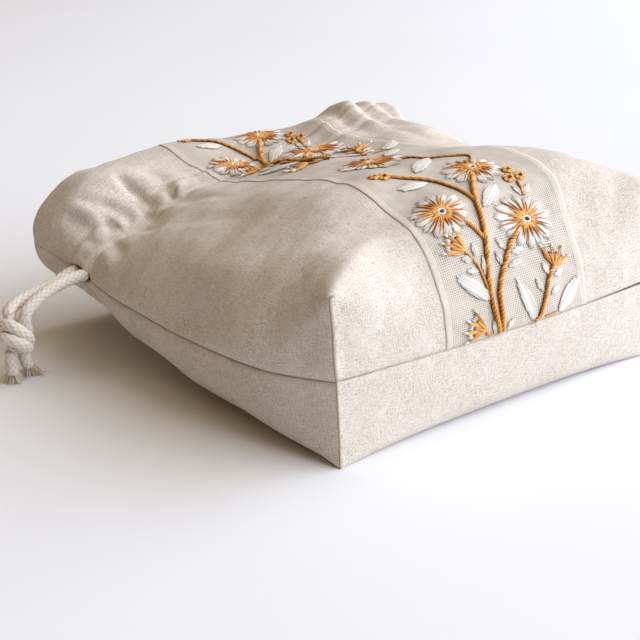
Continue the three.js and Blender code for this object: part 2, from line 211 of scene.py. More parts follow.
def panel(side, u, t, folds=1.0):
    """Place in space of pattern points on a panel's outer face, in the pattern's frame."""
    radius = RIDGE[side] * np.maximum(0, 1 - np.abs(u / HALF_BOTTOM) ** RIDGE_POWER)
    along = fillet(t - HALF_GUSSET, radius)
    drop = fillet(HALF_GUSSET - t, radius) / HALF_GUSSET
    face = "top" if side == "front" else "under"
    half = section("half", along)
    loop_x, loop_z, nx, nz = half_loop(u / HALF_WIDTH, half, section(face, along),
                                       section(face + "_x", along), section(face + "_z", along))
    fold = folds * gather(side, u, along)
    middle = np.maximum(0, 1 - (u / HALF_BOTTOM) ** 2)
    start = dict(zip(SECTION_COLUMNS, SECTIONS[0]))
    x = loop_x + nx * fold
    if side == "front":
        z = section("seam_z", along) + loop_z + nz * fold
        z += section("crown", along) * np.maximum(0, 1 - (loop_x / half) ** 2)
        edge = np.clip((HALF_WIDTH - np.abs(u)) / SWELL_EDGE, 0, 1)
        for at, up, radius_u, radius_t, height in SWELLS:
            z += edge * height * np.exp(-((u - at) / radius_u) ** 2 - ((t - up) / radius_t) ** 2)
        z -= drop * (start["top"] + (start["crown"] - SEAM_RISE) * middle)
    else:
        z = section("seam_z", along) - loop_z - nz * fold + drop * (start["under"] + SEAM_RISE * middle)
    lean = BOTTOM_LEAN * (np.clip(z, 0, LEAN_TOP) / LEAN_HEIGHT) ** LEAN_POWER * np.exp(-along / LEAN_FADE)
    y = along - BOTTOM_BULGE * middle * np.sin(np.clip(drop, 0, 1) * math.pi / 2) + lean
    z = z + section("roll", along) * x
    x = x + section("shift", along)
    if side == "back":
        z = np.maximum(z, 0)
    return np.stack([x, y, z], -1)


def outward(side, u, t, folds=1.0):
    """Outward directions of a panel at pattern points."""
    step = 0.4
    across = panel(side, u + step, t, folds) - panel(side, u - step, t, folds)
    up = panel(side, u, t + step, folds) - panel(side, u, t - step, folds)
    return FACING[side] * unit(np.cross(across, up))


# Finer folds drawn on the front's pattern: points (u, t), half width, height
FRONT_STROKES = [
    ([(-62, 193), (-32, 190), (-2, 190)], 13, 4.6),
    ([(-63, 174), (-62.2, 167), (-60, 158.5)], 2.2, -2.7),
    ([(-77, 168), (-73, 163.8), (-68, 161.8)], 1.8, -1.6),
    ([(-89.5, 173), (-86.6, 166), (-84.4, 161.5)], 2.8, -1.8),
    ([(-50, 174), (-48.6, 166), (-47.6, 160)], 2.6, -0.6),
    ([(-86, 176), (-83, 169), (-81, 162)], 3, 1.7),
    ([(-79, 173), (-72, 167), (-68, 163)], 2.4, 0.9),
    ([(-57, 177), (-55.5, 169), (-54, 161)], 3.4, 0.7),
    ([(-68.6, 163), (-67.4, 157)], 2.2, 1.1),
    ([(-55.6, 162), (-56.6, 154)], 2.4, 1.3),
    ([(-91, 160.5), (-84, 157)], 2.4, 0.9),
    ([(-77.4, 164), (-76.4, 159), (-75.2, 153.5)], 1.6, 1.4),
    ([(-82, 157.8), (-75, 154.6)], 1.1, 0.6),
    ([(-46, 162.5), (-47.8, 157), (-51.5, 151)], 2, 1.3),
    ([(-63.4, 161), (-61.6, 155), (-58, 149)], 1.6, 0.9),
    ([(-72.6, 162), (-72, 156)], 1.4, -1),
    ([(-62.2, 161.5), (-60.2, 155)], 1.4, -0.8),
    ([(-51.6, 161), (-52.6, 154)], 1.4, -0.5),
    ([(-82.2, 162.5), (-80.8, 156.5)], 1.4, -0.8),
    ([(-74, 159), (-72, 148), (-69.5, 135)], 3.4, -1.6),
    ([(-83.4, 158.5), (-85.5, 149), (-87.5, 138)], 2.8, -1.3),
    ([(-91, 108), (-79, 76), (-66, 54), (-54, 46)], 8, 2.2),
    ([(-48, 120), (-60, 102), (-66, 82)], 9, -1.2),
    ([(-96, 104), (-89, 72), (-78, 48)], 8, -1.2),
    ([(-70, 132), (-62, 118), (-58, 98)], 4, -0.7),
    ([(-55, 150), (-50, 138), (-47, 122)], 3, -0.8),
    ([(-98, 132), (-92, 146), (-90, 156)], 3, 0.9),
    ([(44, 186), (49, 172), (48, 158)], 3, 1.4),
    ([(60, 188), (63, 174), (62, 160)], 3, -1.6),
    ([(74, 184), (76, 170), (76, 158)], 3, 1.5),
    ([(87, 182), (88, 170), (86, 158)], 3, -1.3),
    ([(50, 152), (46, 136), (44, 118)], 3.4, -0.9),
    ([(72, 152), (70, 138), (66, 120)], 3.6, 0.9),
]
BACK_STROKES = [
    ([(-60, 150), (-52, 128), (-48, 108)], 4, -0.8),
    ([(-20, 150), (-16, 130), (-18, 112)], 4, 0.8),
    ([(24, 150), (20, 132), (22, 110)], 4, -0.8),
    ([(62, 150), (58, 130), (54, 112)], 4, 0.8),
    ([(-80, 186), (-76, 172), (-74, 160)], 3, -1.2),
    ([(40, 186), (42, 172), (38, 160)], 3, 1.1),
]

# Seams: depth of the groove, height of the roll beside it and of the puckers, whose length wanders
SEAM_COLUMNS = ["depth", "roll", "pucker"]
SEAMS = {"side": (0.45, 0.25, 0.26), "bottom": (0.2, 0.1, 0.12), "box": (0.1, 0.0, 0.0)}
GROOVE_WIDTH = 0.8
ROLL_AT = 2.6
ROLL_WIDTH = 1.7
PUCKER_LENGTH = 9.0
PUCKER_REACH = 5.0
PUCKER_WANDER = 1.7
WANDER_LENGTH = 17.0
# The side seam is pressed flat in the frill: places where it begins to fade and is faint, share left
SEAM_FADE = (160.0, 168.0)
SEAM_LEFT = 0.1

# Rows of stitches that close the casing: places up the panel, depth and half width of their crease,
# and how far the casing stands out between them
STITCH_ROWS = (151.5, 162.7)
CREASE_DEPTH = 0.5
CREASE_WIDTH = 0.9
CASING_PUFF = 0.8
PUFF_EDGE = 2.2

# Wandering unevenness of the cloth: wavelength, height
RIPPLES = [(46.0, 0.55), (19.0, 0.16), (8.0, 0.05)]
RIPPLE_WAVES = 22
# The back is drawn smoother: share of the unevenness, distances from its ridge where it begins and is full
BACK_RIPPLE = 0.3
RIDGE_CALM = (4.0, 22.0)
# Distance from a seam within which folds and ripples fade out
SEAM_CALM = 6.0


def ripple_waves(wavelength):
    """Seeded plane waves about one wavelength: wave vectors and phases."""
    size = 2 * math.pi / wavelength * rng.uniform(0.7, 1.35, RIPPLE_WAVES)
    turn = rng.uniform(0, 2 * math.pi, RIPPLE_WAVES)
    return size * np.cos(turn), size * np.sin(turn), rng.uniform(0, 2 * math.pi, RIPPLE_WAVES)


WAVES = {side: [(height, *ripple_waves(length)) for length, height in RIPPLES] for side in SIDES}


def stroke_height(strokes, u, t):
    """Height of drawn folds: a rounded ridge along each line, fading at its ends."""
    total = np.zeros_like(u)
    for points, width, height in strokes:
        points = np.array(points, float)
        lengths = np.linalg.norm(np.diff(points, axis=0), axis=1)
        starts = np.concatenate([[0], np.cumsum(lengths)])
        best = np.full_like(u, np.inf)
        place = np.zeros_like(u)
        for a, b, begin, length in zip(points, points[1:], starts, lengths):
            share = ((u - a[0]) * (b[0] - a[0]) + (t - a[1]) * (b[1] - a[1])) / length ** 2
            share = np.clip(share, 0, 1)
            away = np.hypot(u - a[0] - share * (b[0] - a[0]), t - a[1] - share * (b[1] - a[1]))
            place = np.where(away < best, (begin + share * length) / starts[-1], place)
            best = np.minimum(best, away)
        total += height * (1 - (2 * place - 1) ** 2) * np.exp(-(best / width) ** 2)
    return total


def seam_height(seam, away, along_seam):
    """Height beside a seam: its groove, the roll of cloth along it and the puckers."""
    sizes = dict(zip(SEAM_COLUMNS, SEAMS[seam]))
    groove = -sizes["depth"] * np.exp(-(away / GROOVE_WIDTH) ** 2)
    roll = sizes["roll"] * np.exp(-((away - ROLL_AT) / ROLL_WIDTH) ** 2)
    wander = PUCKER_WANDER * np.sin(along_seam / WANDER_LENGTH)
    wave = np.sin(2 * math.pi * along_seam / PUCKER_LENGTH + wander)
    pucker = sizes["pucker"] * wave * np.exp(-away / PUCKER_REACH) * (1 - np.exp(-away / GROOVE_WIDTH))
    return groove + roll + pucker


def relief(side, u, t):
    """Height of the cloth's own unevenness at pattern points: folds, ripples and seams."""
    ripple = np.zeros_like(u)
    for height, wave_u, wave_t, phase in WAVES[side]:
        waves = np.cos(u[:, None] * wave_u + t[:, None] * wave_t + phase).sum(1)
        ripple += height * waves / math.sqrt(RIPPLE_WAVES / 2)
    if side == "back":
        ripple *= BACK_RIPPLE * smoothstep(np.abs(t - HALF_GUSSET), *RIDGE_CALM)
    strokes = FRONT_STROKES if side == "front" else BACK_STROKES
    calm = np.clip(np.minimum(HALF_WIDTH - np.abs(u), t) / SEAM_CALM, 0, 1)
    total = calm * (stroke_height(strokes, u, t) + ripple)
    low = t < HALF_GUSSET
    pressed = 1 - (1 - SEAM_LEFT) * smoothstep(t, *SEAM_FADE)
    total += pressed * seam_height("side", HALF_WIDTH - np.abs(u), t)
    total += np.where(low, seam_height("bottom", t, u), 0)
    above = np.where(np.abs(u) > HALF_BOTTOM, t - HALF_GUSSET, np.inf)
    beside = np.where(low, HALF_BOTTOM - np.abs(u), above)
    along_box = np.where(low, t, HALF_WIDTH - np.abs(u))
    total += seam_height("box", np.abs(beside), along_box)
    for row in STITCH_ROWS:
        total -= CREASE_DEPTH * np.exp(-((t - row) / CREASE_WIDTH) ** 2)
    lower, upper = STITCH_ROWS
    puff = smoothstep(t, lower, lower + PUFF_EDGE) * (1 - smoothstep(t, upper - PUFF_EDGE, upper))
    return total + CASING_PUFF * puff


# The slit that the cord leaves by, in the side seam on the casing
SLIT_HALF = 2.4
SLIT_REACH = 6.0
SLIT_LENGTH = 6.5


def slit_opening(u, t):
    """How far the seam's edge is pulled open for the cord."""
    lens = np.maximum(0, 1 - ((t - CINCH_T) / SLIT_LENGTH) ** 2)
    return SLIT_HALF * lens * np.exp(-((u + HALF_WIDTH) / SLIT_REACH) ** 2)


def casing_share(t):
    """How much of the casing's thickness there is at a place up the panel."""
    return smoothstep(t, *CASING_RISE) * (1 - smoothstep(t, *CASING_FALL))


def to_row(points):
    """Points of the pattern's frame, in millimetres, as metres in the row's frame."""
    return (points - MIDDLE) * MM


# Mesh building

def add_object(name, verts, faces, uv=None, smooth=True, creased=None):
    """A mesh object from points in metres, faces, pattern places of the faces' corners and creased points."""
    mesh = bpy.data.meshes.new(name)
    mesh.from_pydata(np.asarray(verts).tolist(), [], np.asarray(faces).tolist())
    if uv is not None:
        layer = mesh.uv_layers.new(name="pattern")
        layer.data.foreach_set("uv", np.asarray(uv, np.float32).ravel())
    if smooth:
        mesh.polygons.foreach_set("use_smooth", [True] * len(mesh.polygons))
    mesh.update()
    if creased is not None:
        ends = np.empty(2 * len(mesh.edges), dtype=np.int64)
        mesh.edges.foreach_get("vertices", ends)
        mesh.edges.foreach_set("use_edge_sharp", creased[ends.reshape(-1, 2)].all(axis=1))
    piece = bpy.data.objects.new(name, mesh)
    bpy.context.scene.collection.objects.link(piece)
    return piece


def joined_object(name, parts):
    """One piece from many parts, each with its points in the pattern's frame, its quads and its shades."""
    verts, quads, shades = zip(*parts)
    starts = np.cumsum([0] + [len(points) for points in verts])
    faces = np.concatenate([group + start for group, start in zip(quads, starts)])
    piece = add_object(name, to_row(np.concatenate(verts)), faces)
    attribute = piece.data.attributes.new("shade", "FLOAT", "POINT")
    attribute.data.foreach_set("value", np.concatenate(shades).astype(np.float32))
    return piece


def grid_quads(index):
    """Quads between the neighbours in a grid of point numbers."""
    return np.stack([index[:-1, :-1], index[:-1, 1:], index[1:, 1:], index[1:, :-1]], -1).reshape(-1, 4)


def ring_quads(index):
    """Quads between neighbouring closed rings of point numbers."""
    near, far = index[..., :-1, :], index[..., 1:, :]
    return np.stack([near, np.roll(near, -1, -1), np.roll(far, -1, -1), far], -1).reshape(-1, 4)


# Pattern grid steps that fit the gusset, the bottom and the panel's height evenly
GUSSET_STEPS = 28
BOTTOM_STEPS = 138
HEIGHT_STEPS = 190
UV_SCALE = 0.01
# The back's lowest points stay this far above the floor
FLOOR_CLEARANCE = 0.02


def pattern_grid():
    """Pattern points of a whole panel and its quads, with the boxed corner's two edges sewn together."""
    gusset = np.linspace(SEAM_GAP / 2, HALF_GUSSET, GUSSET_STEPS + 1)
    outer = HALF_WIDTH - gusset
    middle = np.linspace(-HALF_BOTTOM, HALF_BOTTOM, BOTTOM_STEPS + 1)
    columns = np.concatenate([-outer[:-1], middle, outer[:-1][::-1]])
    rows = np.linspace(HALF_GUSSET, PANEL_HEIGHT, HEIGHT_STEPS + 1)
    first = len(gusset) - 1
    upper = np.arange(len(rows) * len(columns)).reshape(len(rows), len(columns))
    places = [np.stack(np.meshgrid(columns, rows), -1).reshape(-1, 2)]
    lower = np.zeros((len(gusset), len(middle)), dtype=int)
    lower[-1] = upper[0, first:first + len(middle)]
    lower[:-1, 0] = upper[0, :first]
    lower[:-1, -1] = upper[0, first + len(middle):][::-1]
    inner = np.stack(np.meshgrid(middle[1:-1], gusset[:-1]), -1).reshape(-1, 2)
    lower[:-1, 1:-1] = upper.size + np.arange(len(inner)).reshape(len(gusset) - 1, -1)
    places.append(inner)
    return np.concatenate(places), np.concatenate([grid_quads(lower), grid_quads(upper)])


def closed_wall(outer, inner, quads):
    """Points and faces of a wall with an outer skin, an inner skin and strips along its free edges."""
    count = len(outer)
    edges = np.concatenate([quads[:, [0, 1]], quads[:, [1, 2]], quads[:, [2, 3]], quads[:, [3, 0]]])
    key = np.sort(edges, axis=1) @ np.array([count, 1])
    _, index, uses = np.unique(key, return_index=True, return_counts=True)
    rim = edges[index[uses == 1]]
    strips = np.stack([rim[:, 1], rim[:, 0], rim[:, 0] + count, rim[:, 1] + count], -1)
    return np.concatenate([outer, inner]), np.concatenate([quads, quads[:, ::-1] + count, strips])


def cloth_panel(side):
    """A linen panel: the pattern shaped into the pouch, with its casing and hem on the inside."""
    places, quads = pattern_grid()
    u, t = places.T
    normal = outward(side, u, t)
    sewn = (np.abs(u) > HALF_BOTTOM - TINY) & (t < HALF_GUSSET + TINY)
    corner = np.stack([np.sign(u), -np.ones_like(u), 0 * u], -1) / math.sqrt(2)
    normal[sewn] = corner[sewn]
    outer = panel(side, u, t) + normal * relief(side, u, t)[:, None]
    plain = WALL + (HEM - WALL) * smoothstep(t, *CASING_FALL)
    inner = outer - normal * plain[:, None]
    bulge = panel(side, u, t, 0.0) - outward(side, u, t, 0.0) * CASING
    inner += (bulge - inner) * casing_share(t)[:, None]
    opened = slit_opening(u, t) * FACING[side]
    outer[:, 2] += opened
    inner[:, 2] += opened * (1 - casing_share(t))
    if side == "back":
        quads = quads[:, ::-1]
        outer[:, 2] = np.maximum(outer[:, 2], FLOOR_CLEARANCE)
        inner[:, 2] = np.maximum(inner[:, 2], WALL)
    verts, faces = closed_wall(to_row(outer), to_row(inner), quads)
    uv = np.tile(places, (2, 1))[faces]
    low = (uv[..., 1].mean(axis=1) < HALF_GUSSET)[:, None] & (np.abs(uv[..., 0]) > HALF_BOTTOM)
    folded = np.stack([np.sign(uv[..., 0]) * HALF_BOTTOM, HALF_WIDTH - np.abs(uv[..., 0])], -1)
    uv[low] = folded[low]
    return add_object("linen_" + side, verts, faces, uv * UV_SCALE, creased=np.tile(sewn, 2))


# Tulle band: gap above the linen, thickness, its doubled borders and its flare at the bottom seam
BAND_GAP = 0.03
TULLE = 0.11
BORDER_IN = 30.0
BORDER_SOFT = 0.5
BORDER_THICK = 0.03
BORDER_RIDGE = 0.02
BORDER_RIDGE_WIDTH = 0.5
RIDGE_INSET = 0.6
BAND_FLARE = 0.1
FLARE_TOP = 42.0
BAND_COLUMNS = 86
BAND_ROWS = 210


def band_top(u):
    """Height of the tulle's upper face above the linen."""
    border = smoothstep(np.abs(u), BORDER_IN - BORDER_SOFT, BORDER_IN + BORDER_SOFT)
    inner = np.exp(-((np.abs(u) - BORDER_IN - BORDER_SOFT) / BORDER_RIDGE_WIDTH) ** 2)
    outer = np.exp(-((np.abs(u) - HALF_BAND + RIDGE_INSET) / BORDER_RIDGE_WIDTH) ** 2)
    return BAND_GAP + TULLE + BORDER_THICK * border + BORDER_RIDGE * (inner + outer)


def band_point(u, t, height):
    """Places a height above the linen front, with outward directions, for any shape of u and t."""
    flat_u, flat_t = u.ravel(), t.ravel()
    normal = outward("front", flat_u, flat_t)
    raised = relief("front", flat_u, flat_t) + height.ravel()
    points = panel("front", flat_u, flat_t) + normal * raised[:, None]
    return points.reshape(u.shape + (3,)), normal.reshape(u.shape + (3,))


def tulle_band():
    """The tulle strip over the middle of the front, as a thin wall with doubled borders."""
    columns = np.linspace(-HALF_BAND, HALF_BAND, BAND_COLUMNS)
    rows = np.linspace(SEAM_GAP / 2, PANEL_HEIGHT, BAND_ROWS)
    u, t = np.meshgrid(columns, rows)
    flared = u * np.where(u > 0, 1 + BAND_FLARE * (1 - smoothstep(t, 0, FLARE_TOP)), 1)
    top, _ = band_point(flared, t, band_top(u))
    bottom, _ = band_point(flared, t, np.full_like(u, BAND_GAP))
    quads = grid_quads(np.arange(u.size).reshape(u.shape))
    verts, faces = closed_wall(to_row(top.reshape(-1, 3)), to_row(bottom.reshape(-1, 3)), quads)
    places = np.stack([u, t], -1).reshape(-1, 2) * UV_SCALE
    return add_object("tulle_band", verts, faces, np.tile(places, (2, 1))[faces])


# Lines, threads and cords

# Points worked out between two given ones on a smooth line
LINE_STEPS = 24


def smooth_line(points, spacing):
    """Evenly spaced points on a smooth curve through the given ones."""
    points = np.asarray(points, float)
    padded = np.vstack([2 * points[0] - points[1], points, 2 * points[-1] - points[-2]])
    s = np.linspace(0, 1, LINE_STEPS, endpoint=False)[:, None]
    pieces = [0.5 * (2 * b + (c - a) * s + (2 * a - 5 * b + 4 * c - d) * s ** 2
                     + (3 * b - 3 * c + d - a) * s ** 3)
              for a, b, c, d in zip(padded, padded[1:], padded[2:], padded[3:])]
    fine = np.vstack(pieces + [points[-1:]])
    reach = np.concatenate([[0], np.cumsum(np.linalg.norm(np.diff(fine, axis=0), axis=1))])
    wanted = np.linspace(0, reach[-1], max(2, round(reach[-1] / spacing) + 1))
    return np.stack([np.interp(wanted, reach, column) for column in fine.T], -1)


def tube_rings(paths, normals, radii, sides):
    """Ring points and quads of tubes along paths of equally many points, with radii by ring or by side."""
    tangent = unit(np.gradient(paths, axis=1))
    side = unit(np.cross(normals, tangent))
    up = np.cross(tangent, side)
    angle = np.linspace(0, 2 * math.pi, sides, endpoint=False)[:, None]
    spokes = np.cos(angle) * side[:, :, None] + np.sin(angle) * up[:, :, None]
    rings = paths[:, :, None] + radii[..., None] * spokes
    return rings.reshape(-1, 3), ring_quads(np.arange(rings[..., 0].size).reshape(rings.shape[:3]))


# Sides of an embroidery thread's section, and how much lighter a thread's crest is painted: painted highlight
# on its top, painted shade underneath
THREAD_SIDES = 6
PAINTED_CREST_LIGHT = 0.22


def thread_object(name, threads):
    """One mesh of many threads on the band, each with its places, lifts, radii and shades."""
    painted_crest = PAINTED_CREST_LIGHT * np.sin(np.linspace(0, 2 * math.pi, THREAD_SIDES, endpoint=False))
    parts = []
    for size in sorted({len(thread[0]) for thread in threads}):
        group = [thread for thread in threads if len(thread[0]) == size]
        places, lifts, radii, tones = (np.array(column) for column in zip(*group))
        paths, normals = band_point(places[..., 0], places[..., 1], lifts)
        # Each thread gets painted light round its section: lighter on its crest, darker underneath.
        shades = (tones.ravel()[:, None] + painted_crest).ravel()
        parts.append((*tube_rings(paths, normals, radii[..., None], THREAD_SIDES), shades))
    return joined_object(name, parts)


# One repeat of the sprig on the band, its root at the bottom seam: pattern places in millimetres
REPEATS = (0.0, 116.0)
# Stems: width, places from the root upwards
STEMS = [
    (1.9, [(-9.2, 0.6), (-10.4, 6.9), (-10.9, 12.4), (-10.5, 17.1), (-9.6, 21.8), (-8.3, 26), (-7.2, 31.2),
           (-5.9, 36.6), (-4.2, 43), (-0.2, 49.3), (5, 56)]),
    (1.8, [(-7.9, 0.6), (-7.7, 3.3), (-7.4, 9.6), (-6.9, 13.2), (-5.5, 16), (-3.1, 19.4), (-0.6, 22.3),
           (2.8, 25.7), (8.2, 29.4)]),
    (1.6, [(7.5, 0.8), (10.1, 1.8), (12.3, 5.6), (14.8, 10.3), (17.6, 14.2), (20.5, 16.5)]),
    (1.4, [(-7.6, 29), (-10.8, 33.4), (-13.5, 36.9), (-16.2, 41.6)]),
    (1.3, [(-4.9, 40.5), (-5, 44.5), (-6.3, 50.9), (-7.5, 56.9), (-9.4, 61.4), (-12.4, 65.1), (-15.9, 68.5),
           (-19, 70.6)]),
    (1.0, [(-11.3, 13.3), (-11.6, 15.3), (-12.5, 19.5), (-14.2, 23.6), (-17.8, 27.8)]),
    (1.2, [(15.4, 39.4), (16.4, 41.9), (17, 44.2), (17.5, 46.2)]),
    (1.0, [(-12.1, 0.6), (-14.3, 1.4), (-15.7, 3)]),
    (0.7, [(13.3, 1), (16.6, 1.1), (19.2, 1.3)]),
    (1.0, [(13.6, 66.5), (15.3, 69.6), (13.2, 72.6), (9, 75.4), (4.6, 79.2), (1.6, 85), (-3.5, 90)]),
]
# Leaves in long stitches: base, tip, width
LEAVES = [
    ((-11.9, 12.2), (-23.5, 21.9), 4.8),
    ((7.8, 1), (2.7, 15.9), 4.8),
    ((20.3, 2.4), (32.4, 9.6), 5.4),
    ((-2.6, 40), (8.1, 46.2), 4.8),
    ((-11.6, 59.6), (-21.5, 62.4), 4.2),
    ((4, 78), (-9, 70), 5.2),
    ((3, 99), (15, 107), 5.2),
]
# Leaflets beside the stems: base, tip
LEAFLETS = [
    ((-15.6, 24.5), (-19.8, 26.4)),
    ((-14.3, 21), (-18.9, 22.5)),
    ((-14, 25.7), (-13.4, 29.2)),
    ((-11.6, 19.7), (-10.4, 25.2)),
    ((0.5, 24.8), (-2.4, 28.6)),
    ((-2.9, 20.9), (-3.9, 25.3)),
    ((2.9, 23.7), (8.5, 23.6)),
    ((-0.3, 20.2), (6.4, 20.5)),
    ((17, 13.9), (16, 18.5)),
    ((12.8, 9.7), (11, 14.1)),
    ((19.9, 13.6), (24.9, 14.1)),
    ((16.3, 8.4), (21.3, 9.4)),
    ((14.9, 39.8), (14.1, 44.6)),
    ((16.3, 39.8), (20.7, 43.4)),
    ((-11.1, 0.8), (-11.2, 5.5)),
    ((-5.4, 1.3), (-2.4, 3.6)),
]
# Daisies: centre, radii, turn of the first radius in degrees
DAISIES = [
    ((-19.3, 42.8), 10.6, 10.2, 0),
    ((12.4, 31.3), 13.4, 8.6, -16),
    ((7.6, 59.4), 10.4, 10.4, 0),
    ((-9, 93), 12, 10.6, 8),
]
# Fan-shaped buds: tip on the stem, ends of the rays
FANS = [
    ((-17.8, 27.8), [(-18.7, 35.1), (-22.8, 34), (-25.3, 32), (-26.1, 29)]),
    ((20.4, 16.3), [(16.5, 22.8), (21.2, 22.2), (25.9, 21), (28.3, 17.9)]),
    ((-15.4, 2.9), [(-19.3, 10), (-22.7, 7.4), (-24.2, 4.1), (-23.8, 0.8)]),
]
# Coiled buds: centre, radius
COILS = [((18, 52.5), 2), ((15.2, 48.2), 2.1), ((19.9, 47.8), 2), ((-20.6, 71.4), 2.1), ((-23.6, 72.8), 1.7)]

# Top of the net, radius and spacing of the floss, room at the band's bottom and top, overlap at its sides
NET_TOP = BAND_GAP + TULLE
FLOSS = 0.25
THREAD_GAP = 0.4
BOTTOM_ROOM = 0.2
TOP_ROOM = 0.4
SIDE_OVERLAP = 1.0

# Stitches: start and end along their way, radius, rise, shade, taper; a pair is a range to draw from
STITCHES = {
    "petal": (0.15, (0.95, 1.03), 1.25 * FLOSS, 0.35, (0.3, 1), 0),
    "ray": (0.1, (0.66, 0.98), 0.52, 0.65, (0.2, 0.75), 0.7),
    "disc": (0.08, (0.28, 0.46), 0.52, 0.7, (0.35, 0.9), 0.4),
    "daisy_eye": (-0.4, 0.4, 0.3, 0.8, (0, 0.25), 0),
    "fan_tip": (0.93, 1.14, 0.4, 0.5, 0.9, 0),
    "fan_middle": (0, 0.7, 0.45, 0.6, (0.5, 0.9), 0),
    "fan_pale": (0.66, (0.9, 1.02), FLOSS, 0.4, 0.7, 0),
    "fan_dark": (0.6, 0.74, FLOSS, 0.7, 0.2, 0),
    "coil_speck": (-0.3, 0.3, 0.2, 0.6, 0.2, 0),
    "coil_eye": (-0.4, 0.4, 0.3, 0.2, 0.2, 0),
}
STITCH_POINTS = 6
# Share of a stitch's thickness at its ends, and how soon it fills out
STITCH_END = 0.4
STITCH_FILL = 0.4

# Leaves: points along a stitch, fewest stitches, place of the outermost, roundness of the outline,
# inset of a stitch's swell, raggedness, slant, fall of the dome, thickness at the ends, shades and rise
LEAF_POINTS = 8
LEAF_STITCHES = 5
LEAF_EDGE = 0.9
LEAF_ROUND = 0.6
LEAF_INSET = 0.06
RAGGED = 0.07
LEAF_SLANT = 0.1
LEAF_DOME = 0.75
LEAF_END = 0.45
LEAF_SHADES = (0.2, 1)
LEAF_RISE = 0.42
LEAFLET_WIDTH = 1.9
LEAFLET_RISE = 0.6 * LEAF_RISE

# Daisies: petals, their threads, spread, sizes, pointedness and dome, then rays and disc
PETALS = 14
PETAL_THREADS = 7
PETAL_SPREAD = 0.38
PETAL_SIZES = (0.96, 1.07)
PETAL_POINT = 0.13
PETAL_DOME = 0.4
RAYS = 26
RAY_JITTER = (-0.3, 0.3)
RAY_SWAY = (-0.06, 0.06)
DISC_THREADS = 36
EYE_STITCHES = 4
# The pale ring in a daisy: share of the radius, lift, thickness, shade
RING = (0.11, 1.1, 0.4, 0.8)
RING_POINTS = 25

# Stems: plies, step along the line, then length of a turn, offset, lift and radius of a ply in widths
ROPE_PLIES = 3
ROPE_STEP = 0.3
ROPE_TURN = 2.1
ROPE_OFFSET = 0.29
ROPE_LIFT = 0.36
ROPE_PLY = 0.24
ROPE_END = 0.4
# Shade of a ply, then its painted light and shade round the stem, lighter where the ply lies on top, and its
# changes from ply to ply and along the stem
ROPE_TONES_AND_PAINTED_LIGHT = (0.36, 0.38, 0.12, 0.15)
DRIFT_LENGTH = 5.3

# Fan-shaped buds: width and rise of a ray, places of the pale stitches between two rays
FAN_RAY = (1.5, 0.5)
FAN_PLACES = (0.3, 0.5, 0.7)

# Coiled buds: points and turns, inner size, thickness, lift, rise, shade, its change by link, a painted
# highlight on each link and painted shade between links, and specks
COIL_POINTS = 61
COIL_TURNS = 2
COIL_INNER = 0.5
COIL_WIDTH = 0.4
COIL_LIFT = 0.35
COIL_RISE = 0.3
COIL_SHADE = 0.72
PAINTED_LINK_LIGHT = 0.5
COIL_LINKS = 6
SPECKS = 3
SPECK_TURN = 0.4
SPECK_SHARE = 0.7


def drawn(value):
    """A value as it is, or one drawn from a range."""
    return rng.uniform(*value) if isinstance(value, tuple) else value


def circle_point(angle):
    """A point on the unit circle."""
    return np.array([math.cos(angle), math.sin(angle)])


def straight(start, step):
    """A way that gives the place at any share of a step."""
    return lambda share: np.add(start, share * np.array(step))


def stitch(kind, way, size=1.0, dome=1.0, end_way=None):
    """A straight stitch along a way, which gives places by shares; it bows up off the net and thins."""
    start, end, radius, rise, shade, taper = STITCHES[kind]
    last = (end_way or way)(size * drawn(end))
    s = np.linspace(0, 1, STITCH_POINTS)
    bow = np.sin(math.pi * s)
    place = np.outer(1 - s, way(start)) + np.outer(s, last)
    radii = radius * (STITCH_END + (1 - STITCH_END) * bow ** STITCH_FILL) * (1 - taper * s)
    return place, NET_TOP + radius + dome * rise * bow, radii, np.full(STITCH_POINTS, drawn(shade))


def leaf(base, tip, width, rise):
    """Long stitches side by side across a leaf's outline, with ragged ends."""
    base, tip = np.array(base), np.array(tip)
    along = tip - base
    side = np.array([-along[1], along[0]]) / np.hypot(*along)
    swell = np.sin(math.pi * np.linspace(LEAF_INSET, 1 - LEAF_INSET, LEAF_POINTS)) ** LEAF_ROUND
    radii = FLOSS * (LEAF_END + (1 - LEAF_END) * swell)
    threads = []
    for k in np.linspace(-LEAF_EDGE, LEAF_EDGE, max(LEAF_STITCHES, round(width / THREAD_GAP))):
        chord = 0.5 * (1 - k * k) ** LEAF_ROUND
        begin = 0.5 - chord - rng.uniform(0, RAGGED)
        stop = 0.5 + chord + rng.uniform(-RAGGED, RAGGED)
        s = np.linspace(begin, stop, LEAF_POINTS)
        across = k * width / 2 + LEAF_SLANT * width * (2 * s - 1)
        place = base + np.outer(s, along) + np.outer(across, side)
        lift = NET_TOP + FLOSS + rise * math.sqrt(1 - LEAF_DOME * k * k) * swell
        threads.append((place, lift, radii, np.full(LEAF_POINTS, drawn(LEAF_SHADES))))
    return threads


